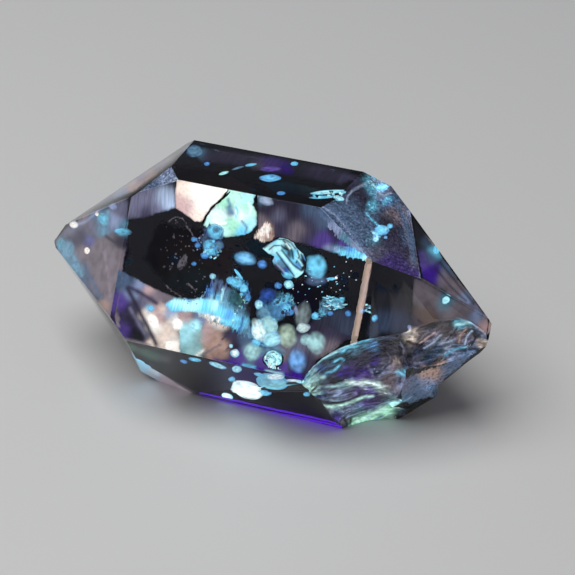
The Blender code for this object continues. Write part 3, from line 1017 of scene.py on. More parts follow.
HAZES = [
    (
        [
            (253, 300), (262, 290), (275, 286), (292, 292), (300, 305), (292, 318), (281, 322), (280, 345),
            (264, 352), (250, 346), (249, 328), (257, 314),
        ],
        [
            (265, 300, 6, DEEP_BLUE), (283, 304, 7, AQUA), (290, 312, 5, DUSK), (274, 312, 5, NIGHT),
            (265, 314, 6, AQUA), (268, 328, 7, PALE_AQUA), (258, 334, 5, ICE), (272, 342, 6, AQUA),
            (255, 344, 4, BLUE), (276, 296, 4, NIGHT),
        ],
    ),
    (
        [(200, 226), (210, 222), (222, 226), (226, 238), (222, 254), (212, 262), (203, 260), (198, 246)],
        [
            (208, 248, 5, TEAL_GREY), (216, 240, 4, DUSK), (214, 252, 5, AQUA), (206, 236, 4, STEEL),
            (220, 232, 4, BLUE),
        ],
    ),
    (
        [(226, 276), (240, 272), (252, 284), (254, 300), (250, 314), (236, 312), (228, 296)],
        [
            (236, 282, 5, AQUA), (246, 290, 5, BLUE), (240, 300, 5, seen(50, 90, 85)), (246, 306, 4, NIGHT),
            (233, 292, 4, DUSK),
        ],
    ),
    (
        [(318, 300), (330, 294), (346, 296), (348, 308), (336, 314), (322, 320), (314, 314)],
        [(326, 306, 5, TEAL_GREY), (338, 301, 5, AQUA), (336, 309, 4, DUSK), (320, 315, 4, AQUA)],
    ),
    (
        [(306, 256), (318, 252), (328, 260), (327, 278), (316, 287), (305, 278)],
        [(316, 267, 5, AQUA), (322, 262, 3, STEEL), (310, 276, 4, STEEL), (322, 278, 4, DUSK)],
    ),
]
for corners, dabs in HAZES:
    veil(front, FRONT, VEIL_DEPTH - 0.35, corners, dabs, look=BLOTCHED, soft=6, cover=0.7, gain=0.9, grid=2)
PEACH_DABS = [(264, 230, 4, CREAM), (260, 237, 4, PEACH), (269, 237, 4, TAN), (266, 225, 3, PEACH)]
PEACH_STROKES = [([(262, 228), (261, 236)], 0.9, CREAM), ([(267, 228), (268, 238)], 0.9, CREAM)]
PEACH_OUTLINE = [(250, 238), (259, 225), (267, 219), (277, 229), (275, 243), (261, 246)]
veil(front, FRONT, VEIL_DEPTH - 0.35, PEACH_OUTLINE, PEACH_DABS, look=COMBED, soft=6, gain=1.3, grid=1.2,
     strokes=PEACH_STROKES)
FUR_DABS = [
    (325, 215, 6, STEEL), (334, 228, 6, LAVENDER), (345, 240, 5, TEAL_GREY), (360, 244, 6, LAVENDER),
]
FUR_OUTLINE = [
    (318, 204), (330, 211), (345, 227), (360, 243), (371, 254), (362, 253), (346, 246), (334, 236),
    (325, 224), (314, 212),
]
veil(front, FRONT, VEIL_DEPTH - 0.9, FUR_OUTLINE, FUR_DABS, look=COMBED, soft=2.5, cover=0.85, ragged=2.5,
     gain=1.4)
CUFF_DABS = [
    (334, 250, 5, LAVENDER), (342, 253, 4, AQUA), (350, 249, 4, BLUE), (352, 256, 4, AQUA),
    (361, 252, 5, AQUA), (366, 258, 4, PALE_AQUA), (371, 257, 4, BLUE), (344, 246, 4, STEEL),
]
CUFF_OUTLINE = [(328, 247), (340, 244), (354, 243), (366, 249), (372, 260), (352, 261), (338, 257)]
veil(front, FRONT, VEIL_DEPTH - 0.7, CUFF_OUTLINE, CUFF_DABS, look=COMBED, soft=5, ragged=2.0, gain=1.7,
     grid=1.5)
print("front veils:", len(front.faces), "faces")

# %% [markdown]
# ## Oil drops
# The drops filled cavities of every shape. A drop starts as a ball of many triangles, is made lumpy by noise
# and stretched, and glows palest on the side that faces out and in its darker rim colour at the sides, as if
# lit from within: painted shading.

# %% Drop maker
LUMPS_PER_RADIUS = 1.3
CORE_FROM = 0.15
CORE_SPAN = 0.5
DROP_THICKNESS = 0.6
DROP_GLOW = 1.15
MOTTLE = 0.7
MOTTLE_PER_RADIUS = 2.6
SOFT_POWER = 2.2
DEPTH_SEED = 9
MOST_THICKNESS = 1.4


def drop(target, facet, depth, x, y, width, height, core, rim,
         turn=0.0, lumps=0.18, finer=2, look=PLAIN, soft=0.0, carry=look_in):
    """A lump seen through a facet, from its place, width and height in pixels and its turn in degrees."""
    part = bmesh.new()
    bmesh.ops.create_icosphere(part, subdivisions=finer, radius=0.5)
    layer = part.verts.layers.float_color.new("tint")
    own = Vector((x, y, depth * DEPTH_SEED))
    depth *= rim_share(facet, Vector((x, y)))
    strength = exp(ABSORBED_PER_MM * depth) * DROP_GLOW
    for vert in part.verts:
        out = vert.co.normalized()
        # painted shading: the core colour on the side that faces out, fading to the rim colour at the sides
        facing = min(1, max(0, (out.z - CORE_FROM) / CORE_SPAN))
        mottle = 1 + MOTTLE * noise.noise(out * MOTTLE_PER_RADIUS + own)
        cover = 1 - soft + soft * max(0, out.z) ** SOFT_POWER
        vert[layer] = (*rim.lerp(core, facing * facing * (3 - 2 * facing)) * strength * mottle, cover)
        vert.co *= 1 + lumps * noise.noise(out * LUMPS_PER_RADIUS + own) * 2
    thick = min(min(width, height) * DROP_THICKNESS, depth * MM / PIXEL * MOST_THICKNESS)
    size = Matrix.Rotation(radians(turn), 4, "Z") @ Matrix.Diagonal((width, height, thick, 1))
    bmesh.ops.transform(part, matrix=size, verts=part.verts)
    for vert in part.verts:
        across, upward, outward = vert.co
        vert.co = keep_inside(carry(facet, x + across, y - upward, depth - outward * PIXEL / MM))
    bmesh.ops.recalc_face_normals(part, faces=part.faces)
    for face in part.faces:
        face.material_index = look
        face.smooth = True
    add_to(target, part)


FINER_ABOVE = (6, 15)


def fineness(width, height):
    """How often the ball of a drop is divided: larger drops need more triangles."""
    return 2 + sum(max(width, height) > size for size in FINER_ABOVE)


SWARM_SPREAD = 0.12
SWARM_SIZES = (0.5, 1.5)
SWARM_SHAPES = (0.4, 1.0)
SWARM_SWING = 12
SWARM_RIM_SHADE = 0.45


def swarm(target, facet, depth, x, y, wide, high, count, size, colours, turn=0.0, flat=None, carry=look_in):
    """Many small flakes in an oval of the picture, turned at random or, with a flat share, lying level."""
    for _ in range(count):
        away, angle = sqrt(draw.random()), draw.uniform(0, 2 * pi)
        across, along = away * cos(angle) * wide / 2, away * sin(angle) * high / 2
        swing = radians(turn)
        spot = (x + across * cos(swing) + along * sin(swing), y - across * sin(swing) + along * cos(swing))
        grain = size * draw.uniform(*SWARM_SIZES)
        high_grain = grain * (draw.uniform(*SWARM_SHAPES) if flat is None else flat)
        swivel = draw.uniform(0, 180) if flat is None else draw.uniform(-SWARM_SWING, SWARM_SWING)
        drop(target, facet, depth + draw.uniform(-SWARM_SPREAD, SWARM_SPREAD), *spot, grain, high_grain,
             draw.choice(colours), draw.choice(colours) * SWARM_RIM_SHADE, turn=swivel, lumps=0.35, finer=1,
             carry=carry)


draw = random.Random(7)
print("drop maker ready")

# %% [markdown]
# Two lists hold the drops seen through the front face: the near ones, which look sharper, and the blurred
# ones further in. Round some of them hang swarms of flakes, and a spray of bright specks fills the right
# half.

# %% Drops behind the front face
# each line: depth in mm, then x, y, width and height in pixels, the colours of core and rim, turn in degrees
FRONT_DROPS = [
    (0.7, 215, 232, 15, 15, AQUA, DEEP_BLUE, 0), (0.5, 216, 230, 7, 7, STEEL, NIGHT, 0),
    (0.9, 210, 248, 11, 15, AQUA, DEEP_BLUE, 20), (0.9, 219, 246, 9, 9, TEAL_GREY, DEEP_BLUE, 0),
    (0.9, 205, 256, 8, 7, BLUE, DEEP_BLUE, 0), (1.0, 198, 246, 6, 6, BLUE, DEEP_BLUE, 0),
    (0.8, 287, 275, 11, 7, AQUA, BLUE, -30), (0.8, 288.5, 285, 9, 8, PALE_AQUA, AQUA, 0),
    (0.9, 278, 286, 7, 6, BLUE, DEEP_BLUE, 0), (0.7, 259, 305, 8, 9, PALE_AQUA, BLUE, 0),
    (0.9, 277, 304, 9, 9, AQUA, DEEP_BLUE, 0), (0.8, 286, 308, 10, 9, AQUA, DEEP_BLUE, 0),
    (0.9, 290, 312, 8, 7, BLUE, DEEP_BLUE, 0), (0.6, 236, 283, 13, 8, AQUA, BLUE, -20),
    (0.7, 244, 289, 9, 8, AQUA, DEEP_BLUE, 0), (0.7, 230, 281, 7, 7, AQUA, BLUE, 0),
    (0.8, 213, 277, 6, 6, PALE_AQUA, BLUE, 0), (0.9, 239, 300, 9, 16, DEEP_TEAL, NIGHT, 15),
    (0.8, 248, 298, 6, 8, BLUE, NIGHT, 0), (0.6, 257, 333, 10, 14, ICE, AQUA, 20),
    (0.7, 272, 340, 18, 14, PALE_AQUA, BLUE, 0), (0.8, 256, 343, 9, 8, AQUA, BLUE, 0),
    (0.5, 303, 328, 13, 9, seen(205, 232, 228), LAVENDER, 0),
    (0.9, 296, 311, 4, 11, LAVENDER, VIOLET_GREY, 10), (0.7, 315, 316, 7, 7, AQUA, BLUE, 0),
    (0.8, 348, 313.5, 6, 6, BLUE, DEEP_BLUE, 0), (0.8, 330, 313.5, 6, 5, BLUE, DEEP_BLUE, 0),
    (0.6, 376, 319, 7, 6, AQUA, BLUE, 0), (0.7, 362, 311, 6, 5, BLUE, DEEP_BLUE, 0),
    (0.5, 235, 353, 8, 8, ICE, AQUA, 0), (0.5, 231, 346, 4, 4, PALE_AQUA, BLUE, 0),
    (0.9, 194, 240, 6, 5, BLUE, DEEP_BLUE, 0), (0.9, 194.5, 264.5, 5, 4, BLUE, DEEP_BLUE, 0),
    (0.8, 152, 308, 6, 6, AQUA, BLUE, 0),
]
drops = bmesh.new()
SOFT_DROPS = [
    (0.5, 266, 201, 15, 9, PALE_LAVENDER, STEEL, -15), (0.8, 264, 314, 14, 17, TEAL_GREY, STEEL, 15),
    (0.8, 268, 327, 19, 22, PALE_TEAL, TEAL_GREY, 0), (0.7, 259, 330, 12, 22, ICE, PALE_AQUA, 20),
    (0.8, 276, 312, 16, 18, seen(70, 120, 160), STEEL, 0), (0.9, 273, 352, 26, 14, TEAL_GREY, STEEL, 0),
    (1.1, 245, 259, 20, 13, seen(120, 190, 235), BLUE, -15),
    (1.1, 262, 265, 9, 8, seen(90, 150, 225), BLUE, 0), (0.95, 315.6, 267, 20, 23, AQUA, STEEL, 30),
    (1.0, 316, 280, 19, 12, STEEL, DEEP_BLUE, 0), (1.1, 268, 295, 16, 13, seen(40, 70, 140), NIGHT, 0),
    (1.0, 316, 343, 18, 22, PALE_TEAL, DULL_LAVENDER, 10),
    (0.9, 306, 340, 12, 11, PALE_TEAL, DULL_LAVENDER, 0),
    (0.8, 297, 361, 17, 23, seen(110, 165, 225), BLUE, 0), (0.9, 252, 352, 16, 17, PALE_TEAL, STEEL, 0),
    (0.8, 287, 336, 18, 23, OLIVE_PALE, TEAL_GREY, 15), (0.8, 154, 321, 10, 14, CREAM * 1.3, PEACH, 20),
    (0.8, 178, 324, 10, 12, CREAM * 1.3, PEACH, 0), (0.8, 170, 345, 10, 9, CREAM * 1.2, ROSE, 0),
    (0.8, 196, 326, 13, 13, PALE_AQUA, AQUA, 0), (0.7, 235, 300, 14, 20, seen(45, 84, 92), NIGHT, 15),
    (0.6, 303, 315, 15, 25, seen(115, 130, 132), STEEL, -10),
]
for group, soft, swell in ((FRONT_DROPS, 0.7, 1.1), (SOFT_DROPS, 1.0, 1.2)):
    for depth, x, y, width, height, core, rim, turn in group:
        drop(drops, FRONT, depth, x, y, width * swell, height * swell, core, rim, turn=turn,
             finer=fineness(width, height), soft=soft, lumps=0.2 - 0.12 * soft)
# each line: depth in mm, then x, y, width and height of the swarm, the count, their size, the colours and,
# for flakes that lie level, the share of their height
FRONT_SWARMS = [
    (0.8, 212, 250, 18, 18, 34, 3.4, (AQUA, BLUE, PALE_AQUA, TEAL_GREY), None),
    (0.8, 216, 234, 17, 13, 22, 3.0, (AQUA, NIGHT, LAVENDER, TEAL_GREY), None),
    (0.7, 237, 286, 20, 16, 20, 3.4, (AQUA, PALE_AQUA, BLUE, NIGHT), None),
    (0.8, 242, 300, 14, 20, 22, 3.0, (AQUA, DEEP_BLUE, NIGHT, GREEN_ICE), None),
    (0.7, 333, 303, 24, 15, 50, 4.2, (AQUA, AQUA, PALE_AQUA, TEAL_GREY), 0.33),
    (0.65, 333, 303, 22, 13, 14, 3.0, (PALE_AQUA, ICE), 0.3),
    (0.8, 319, 315, 12, 8, 14, 3.4, (AQUA, TEAL_GREY, TEAL_GREY), 0.4),
    (0.7, 282, 308, 22, 18, 30, 3.4, (AQUA, BLUE, STEEL, DUSK, DEEP_BLUE), None),
    (0.6, 267, 328, 22, 28, 12, 4.0, (AQUA, PALE_AQUA, TEAL_GREY), None),
    (1.0, 238, 302, 18, 26, 30, 3.0, (DEEP_TEAL, NIGHT, TEAL_GREY, AQUA), None),
    (1.0, 200, 244, 18, 30, 16, 2.0, (BLUE, LAVENDER, STEEL), None),
]
for depth, x, y, wide, high, count, size, colours, flat in FRONT_SWARMS:
    swarm(drops, FRONT, depth, x, y, wide, high, count, size, colours, flat=flat)
SPECKS = [
    (292, 300), (298, 292), (298, 303), (309, 289), (316, 299), (331, 288), (337, 284), (334, 267),
    (351, 271), (349, 277), (336, 292), (305, 295), (322, 292), (327, 296), (302, 285), (340, 290),
    (312, 281), (320, 286), (346, 262), (286, 296), (293, 289), (337, 276), (328, 281), (344, 286),
    (356, 280), (307, 302), (254, 330),
]
SPECK_SIZES = (1.0, 2.4)
SPECK_DEPTHS = (0.3, 0.7)
SPECK_COLOURS = (CREAM, ICE, AQUA)
SPECK_SHAPE = 0.6
SPECK_GLOW = 1.3
for x, y in SPECKS:
    speck = draw.uniform(*SPECK_SIZES)
    drop(drops, FRONT, draw.uniform(*SPECK_DEPTHS), x, y, speck, speck * SPECK_SHAPE,
         draw.choice(SPECK_COLOURS) * SPECK_GLOW, LAVENDER, turn=25, finer=1)
drop(drops, FRONT, 0.5, 331, 279, 9, 3.5, AQUA, BLUE)
swarm(drops, RIGHT_FACE, 0.5, 366, 309, 9, 9, 14, 3.2, (AQUA, TEAL_GREY, PALE_AQUA), flat=0.5)
swarm(drops, FRONT, 0.7, 325, 276, 40, 26, 16, 1.8, (AQUA, BLUE, PALE_AQUA), flat=0.5)
drop(drops, FRONT, 0.5, 336, 278, 3, 3, CREAM, LAVENDER)
print("front drops:", len(drops.faces), "faces")

# %% [markdown]
# The largest inclusion looks like a broken flake with a pale bar across it and black outlines. It is built
# in layers: a black flake, a blotched bright one just before it, and on top the bar, a disc and thin
# cracks.

# %% Large flake
FLAKE_DEPTH = 0.65
FLAKE_OUTLINE = [
    (262, 249), (267, 245), (273, 241), (279.5, 238), (287, 239), (293, 243), (297, 249), (303, 254),
    (306, 261), (305, 270), (301.5, 275), (296, 279), (290.5, 276), (284, 277), (280, 272), (274, 269),
    (272, 261), (274, 257), (268, 254),
]
FLAKE_DABS = [
    (266, 249, 4, PALE_AQUA), (271, 246, 4, PALE_TEAL), (274, 242, 3, AQUA), (280, 242, 4, PALE_AQUA),
    (277, 249, 4, PALE_AQUA), (286, 241, 3, PALE_TEAL), (291, 246, 3, PALE_AQUA), (286, 248, 3, NIGHT),
    (283, 253, 3, AQUA), (290, 254, 3, NIGHT), (294, 254, 3, AQUA), (299, 255, 3, PALE_AQUA),
    (295, 260, 3, AQUA), (301, 262, 3, NIGHT), (298, 267, 3, BLUE), (303, 268, 3, NIGHT),
    (299, 272, 3, PALE_AQUA), (276, 259, 3, AQUA), (281, 265, 3, TEAL_GREY), (278, 268, 3, NIGHT),
    (287, 271, 3, DEEP_BLUE), (285, 260, 3, BLUE), (291, 274, 3, AQUA), (304, 258, 2, BLUE),
]
FLAKE_STROKES = [
    ([(279.5, 252), (284, 257.5), (290, 265), (297, 274)], 2.5, PALE_AQUA),
    ([(294, 276.5), (298, 275.5), (301, 273)], 2.0, PALE_AQUA),
    ([(276.5, 253), (281, 259), (287, 267), (294, 276.5)], 0.9, BLACK),
    ([(281.5, 250.5), (286.5, 257), (293, 265), (301, 271)], 0.9, BLACK),
    ([(264, 248.5), (270, 243), (277, 239.5), (285, 240), (291, 243.5), (295, 249)], 0.8, DUSK),
    ([(283, 241), (289, 246), (292, 252), (293, 259)], 0.9, BLACK),
    ([(281, 246), (284, 249), (288, 250)], 0.9, BLACK), ([(269, 250), (274, 246), (279, 246)], 0.7, DUSK),
    ([(297, 251), (299, 257), (296, 263)], 0.8, BLACK), ([(301, 255), (304, 262), (302, 270)], 1.3, BLACK),
    ([(273, 258), (276, 264), (282, 270), (286, 275)], 0.8, LAVENDER),
    ([(278, 261), (282, 267)], 0.8, TEAL_GREY), ([(295, 258), (299, 261), (302, 266)], 0.8, PALE_AQUA),
    ([(286, 244), (290, 249)], 0.7, ICE),
]
FLAKE_MIDDLE = Vector((284, 259))
FLAKE_BORDER = 1.06
FLAKE_BACKING = [tuple(FLAKE_MIDDLE + (Vector(corner) - FLAKE_MIDDLE) * FLAKE_BORDER)
                 for corner in FLAKE_OUTLINE]
veil(front, FRONT, FLAKE_DEPTH + 0.06, FLAKE_BACKING, [(285, 258, 30, BLACK)], soft=1)
veil(front, FRONT, FLAKE_DEPTH, FLAKE_OUTLINE, FLAKE_DABS, look=PLAIN, soft=0.8, grid=0.9, ragged=0.5,
     gain=1.4, strokes=FLAKE_STROKES)
drop(drops, FRONT, 0.5, 238.5, 274.5, 3, 14, AQUA, BLUE, turn=38, lumps=0.05)
CRACK_OUTLINE = [
    (229.5, 191.5), (231, 192.3), (222.5, 200), (212.5, 208.6), (208.5, 215.4), (203.4, 224), (202, 223),
    (206.8, 214.6), (211, 207.6), (221, 199),
]
veil(front, FRONT, VEIL_DEPTH - 0.2, CRACK_OUTLINE, [(215, 207, 40, BLACK)], look=PLAIN, soft=0, ragged=0.8,
     grid=2)
print("with the flake:", len(front.faces), "faces in the veils")

# %% [markdown]
# One round drop near the lower edge is crowded with bubbles and has a dark rim. A faint grey flake with fine
# outlines hangs in the dark window to the left.

# %% Speckled drop and the faint flake
SPECKLED = (273, 359)
drop(drops, FRONT, 1.1, *SPECKLED, 21, 20, NIGHT, BLACK, lumps=0.03, finer=4)
drop(drops, FRONT, 0.85, *SPECKLED, 18.5, 17.5, PALE_AQUA, AQUA, lumps=0.04, finer=4, look=BLOTCHED)
swarm(drops, FRONT, 0.6, *SPECKLED, 16, 15, 16, 2.6, (NIGHT, STEEL, TEAL_GREY))
swarm(drops, FRONT, 0.55, *SPECKLED, 15, 14, 30, 3.4, (ICE, CREAM, PALE_AQUA, ICE))
swarm(drops, FRONT, 0.6, 272, 368, 13, 5, 10, 3.0, (ICE, PALE_AQUA))
FAINT_GREY = seen(98, 94, 100)
DIM_GREY = seen(70, 68, 74)
FAINT_LINES = [
    [(168, 221), (176, 216), (184, 219), (187, 224), (186, 225), (183, 221), (176, 218), (169, 223)],
    [(186, 224), (192, 232), (196, 240), (195, 241), (190, 233), (185, 226)],
    [(180, 262), (186, 256), (188, 260), (185, 266), (179, 270), (177, 268)],
    [(167, 284), (173, 290), (180, 294), (186, 300), (185, 301), (179, 296), (172, 292), (166, 286)],
    [(188, 283), (193, 286), (198, 294), (197, 295), (192, 288), (187, 285)],
    [(172, 228), (175, 236), (173, 244), (172, 244), (173.5, 236), (171, 229)],
]
LINE_DABS = [(182, 255, 60, FAINT_GREY)]
for corners in FAINT_LINES:
    veil(front, FRONT, 0.9, corners, LINE_DABS, look=BLOTCHED, soft=0.5, ragged=2.0, grid=1.5)
swarm(drops, FRONT, 1.0, 183, 262, 40, 90, 60, 1.8, (FAINT_GREY, DIM_GREY), turn=15)
FAINT_DABS = [(184, 262, 5, FAINT_GREY), (181, 268, 4, seen(70, 66, 74)), (187, 257, 4, seen(84, 80, 90))]
FAINT_OUTLINE = [(177, 268), (180, 260), (185, 254), (189, 256), (188, 264), (184, 271), (179, 272)]
veil(front, FRONT, 0.95, FAINT_OUTLINE, FAINT_DABS, look=BLOTCHED, soft=1.5, cover=0.7, grid=1.5)
print("drops:", len(drops.faces), "faces")

# %% [markdown]
# Each of the other faces in view shows a film or two of its own. Two violet strips glow along the lower
# edges, and the tan bar is a painted warm glint: a film just under the worn strip beside the front face.

# %% Veils and drops behind the other faces
side = bmesh.new()
LEFT_DABS = [
    (56, 241, 6, STEEL), (61, 250, 7, TEAL), (69, 261, 7, TEAL), (77, 271, 6, TEAL * 0.9),
    (84, 282, 6, STEEL), (90, 293, 5, STEEL * 0.8), (72, 228, 6, DULL_LAVENDER), (80, 237, 7, VIOLET_GREY),
    (89, 241, 4, seen(96, 104, 170)), (92, 229, 6, DULL_LAVENDER), (103, 219, 5, TEAL), (102, 230, 5, TEAL),
    (113, 221, 6, LAVENDER), (120, 210, 6, DULL_LAVENDER), (95, 213, 6, STEEL), (84, 219, 5, PINK_GREY),
    (86, 254, 8, PINK_GREY), (104, 246, 8, PINK_GREY), (119, 243, 4, DUSK), (112, 259, 8, PINK_GREY),
    (100, 271, 8, PINK_GREY), (114, 280, 7, PINK_GREY), (96, 286, 6, PINK_GREY), (105, 305, 4, TAN),
    (111, 298, 6, PINK_GREY), (103, 314, 6, PINK_GREY), (112, 322, 6, PINK_GREY), (124, 228, 5, TEAL),
    (122, 258, 5, PINK_GREY),
]
LEFT_STROKES = [
    ([(106, 236), (114, 242), (126, 244)], 1.6, DUSK), ([(84, 262), (92, 279), (101, 298)], 1.6, STEEL),
    ([(104, 252), (108, 275), (110, 296)], 1.6, PINK_GREY * 1.25),
    ([(66, 245), (75, 258), (82, 275)], 1.4, TEAL * 1.3),
    ([(75, 226), (86, 222), (98, 212)], 1.2, LAVENDER),
    ([(108, 212), (107, 222), (103, 234)], 1.5, TEAL * 1.2),
]
LEFT_OUTLINE = [
    (57, 238), (66, 229), (84, 216), (105, 206), (129, 197), (126, 232), (121, 270), (116, 304), (117, 330),
    (104, 318), (92, 298), (80, 282), (66, 270), (57, 250),
]
veil(side, LEFT, 0.35, LEFT_OUTLINE, LEFT_DABS, look=CLOUDED, soft=2, cover=0.95, grid=1.5, gain=1.1,
     strokes=LEFT_STROKES)
LEFT_BLOTCHES = [
    (0.25, 68, 250, 14, 22, TEAL, STEEL, -20), (0.2, 103, 219, 11, 14, AQUA * 0.7, TEAL, 20),
    (0.2, 123, 232, 13, 8, AQUA * 0.6, TEAL_GREY, 0), (0.2, 61, 244, 10, 14, AQUA * 0.5, STEEL, 0),
    (0.25, 75, 268, 12, 15, TEAL, STEEL, -30), (0.2, 112, 206, 12, 8, LAVENDER, STEEL, -20),
]
for depth, x, y, width, height, core, rim, turn in LEFT_BLOTCHES:
    drop(drops, LEFT, depth, x, y, width, height, core, rim, turn=turn, finer=3, soft=0.8, lumps=0.1)
LEFT_TOP_DABS = [
    (150, 180, 6, TAN), (135, 190, 6, ROSE), (165, 163, 6, PINK_GREY), (120, 192, 6, LAVENDER),
    (140, 172, 6, VIOLET), (160, 158, 6, DEEP_BLUE), (105, 200, 6, STEEL), (80, 218, 6, STEEL),
    (178, 150, 6, DUSK),
]
LEFT_TOP_OUTLINE = [
    (74, 222), (100, 203), (128, 181), (160, 159), (178, 150), (176, 160), (150, 180), (133, 192),
    (105, 205),
]
veil(side, LEFT_TOP, 0.2, LEFT_TOP_OUTLINE, LEFT_TOP_DABS, look=CLOUDED, soft=3, cover=0.7)
LOWER_DABS = [
    (128, 344, 6, GREEN_ICE * 0.15), (150, 352, 7, GREEN_ICE * 0.12), (165, 358, 5, seen(60, 62, 66)),
    (182, 366, 8, NIGHT),
]
LOWER_OUTLINE = [(123, 342), (150, 349), (172, 357), (170, 364), (150, 361), (128, 350)]
veil(side, LOWER, 0.8, LOWER_OUTLINE, LOWER_DABS, soft=3)
STRIP_DABS = [(270, 411, 90, INDIGO)]
STEEP_DABS = [
    (131, 359, 5, seen(130, 190, 220)), (142, 367, 6, seen(120, 175, 205)),
    (153, 373, 5, seen(150, 165, 180)), (166, 381, 6, PINK_GREY), (182, 391, 6, PINK_GREY),
]
STEEP_OUTLINE = [(126, 354), (140, 361), (160, 373), (192, 393), (187, 396), (160, 383), (136, 368)]
veil(side, STEEP, 0.03, STEEP_OUTLINE, STEEP_DABS, look=PLAIN, soft=0, ragged=0.5, gain=1.8)
LOWER_STRIP_OUTLINE = [
    (199, 392), (230, 398.5), (270, 407.5), (310, 416), (335, 422), (337, 424), (310, 418), (270, 409.5),
    (230, 400.5), (199, 393.5),
]
veil(side, LOWER, 0.03, LOWER_STRIP_OUTLINE, STRIP_DABS, look=PLAIN, soft=0, ragged=0.4, gain=2.2)
FOOT_STRIP_OUTLINE = [
    (196, 395.5), (230, 402), (270, 411), (310, 419), (342, 426), (341, 429), (310, 423), (270, 415),
    (230, 406), (196, 398),
]
veil(side, FOOT, 0.03, FOOT_STRIP_OUTLINE, STRIP_DABS, look=PLAIN, soft=0, ragged=0.4, gain=2.4)
# the tan bar: a painted warm glint on the narrow strip
BAR_GLINT_DABS = [(368, 270, 12, TAN), (364, 290, 12, PINK_GREY), (360, 310, 10, TAN), (356, 330, 10, TAN)]
BAR_GLINT_STROKES = [
    ([(370, 268), (364, 300), (357, 334)], 0.5, PINK_GREY),
    ([(366, 264), (361, 290), (353.5, 336)], 0.9, DUSK),
    ([(372.5, 264), (367, 300), (358.5, 336)], 0.9, DUSK),
    ([(368, 276), (364, 292), (360, 312)], 0.5, ROSE),
]
BAR_GLINT_OUTLINE = [
    (366, 264), (372.5, 264), (369, 285), (364, 310), (358, 336), (353.5, 336), (358, 310), (362, 285),
]
veil(side, BAR, 0.03, BAR_GLINT_OUTLINE, BAR_GLINT_DABS, look=STREAKED, soft=0, ragged=0.6, grid=1, gain=0.78,
     strokes=BAR_GLINT_STROKES)
DIM_DABS = [
    (382, 300, 10, seen(34, 34, 40)), (384, 322, 9, seen(56, 68, 90)), (400, 318, 9, seen(50, 56, 76)),
    (366, 330, 8, seen(52, 60, 80)), (404, 300, 8, seen(44, 42, 48)),
]
DIM_OUTLINE = [(374, 290), (392, 286), (410, 292), (411, 330), (396, 334), (376, 336), (364, 339)]
veil(side, RIGHT_FACE, 1.2, DIM_OUTLINE, DIM_DABS, look=STREAKED, soft=9, cover=0.95)
RIGHT_DABS = [
    (418, 290, 8, PINK_GREY), (430, 300, 8, PINK_GREY), (445, 303, 6, seen(95, 150, 175)),
    (425, 316, 8, TAN * 0.4), (450, 312, 8, PINK_GREY), (465, 308, 6, PINK_GREY),
    (414, 322, 7, VIOLET_GREY), (478, 316, 6, LAVENDER), (486, 326, 6, ROSE), (468, 300, 5, STEEL),
]
RIGHT_OUTLINE = [
    (414, 278), (424, 281), (450, 296), (470, 307), (488, 318), (491, 324), (488, 338), (478, 327),
    (460, 318), (440, 321), (420, 326), (409, 333), (411, 305),
]
veil(side, RIGHT_FACE, 0.3, RIGHT_OUTLINE, RIGHT_DABS, look=CLOUDED, soft=2.5, gain=0.62)
RIGHT_LOWER_DABS = [
    (405, 385, 7, DULL_LAVENDER), (415, 388, 8, STEEL), (426, 384, 6, LAVENDER), (422, 394, 7, STEEL),
    (432, 392, 6, STEEL), (436, 372, 6, TAN), (426, 375, 5, TAN), (446, 368, 6, STEEL),
    (458, 362, 6, STEEL), (412, 398, 7, SLATE), (404, 402, 6, TEAL_GREY), (444, 378, 5, STEEL),
    (470, 354, 6, STEEL),
]
RIGHT_LOWER_OUTLINE = [
    (400, 382), (412, 374), (430, 368), (450, 360), (472, 350), (480, 351), (462, 366), (442, 382),
    (430, 398), (412, 404), (400, 404),
]
veil(side, RIGHT_LOWER, 0.15, RIGHT_LOWER_OUTLINE, RIGHT_LOWER_DABS, look=BLOTCHED, soft=3, cover=0.95)
RIGHT_TOP_DABS = [
    (436, 250, 5, AQUA), (430, 258, 5, STEEL), (431, 274, 7, INDIGO), (445, 278, 6, PINK_GREY),
    (456, 290, 6, PINK_GREY), (465, 298, 5, LAVENDER), (424, 262, 6, VIOLET), (450, 268, 6, STEEL),
    (418, 230, 6, NIGHT), (430, 242, 5, STEEL * 0.6), (478, 308, 6, DULL_LAVENDER),
]
RIGHT_TOP_STROKES = [
    ([(440, 262), (456, 282), (474, 304)], 0.9, NIGHT), ([(434, 266), (450, 286), (466, 301)], 0.9, DUSK),
]
RIGHT_TOP_OUTLINE = [
    (412, 216), (428, 237), (450, 267), (470, 294), (487, 317), (460, 301), (440, 289), (422, 278),
    (416, 246),
]
veil(side, RIGHT_TOP, 0.15, RIGHT_TOP_OUTLINE, RIGHT_TOP_DABS, look=CLOUDED, soft=2, gain=0.8, grid=1.5,
     strokes=RIGHT_TOP_STROKES)
TOP_DABS = [
    (195, 152, 8, TEAL_GREY), (207, 160, 7, DUSK), (270, 169, 9, VIOLET * 0.5),
    (258, 170, 6, PINK_GREY * 0.4), (283, 171, 5, INDIGO * 0.5), (230, 158, 12, DUSK), (250, 156, 8, DUSK),
    (320, 178, 10, DUSK), (350, 182, 8, VIOLET_GREY),
]
TOP_OUTLINE = [
    (190, 146), (230, 150), (280, 157), (330, 166), (365, 176), (340, 186), (300, 178), (262, 172),
    (228, 166), (200, 164),
]
veil(side, TOP, 0.8, TOP_OUTLINE, TOP_DABS, look=STREAKED, soft=6, cover=0.75)
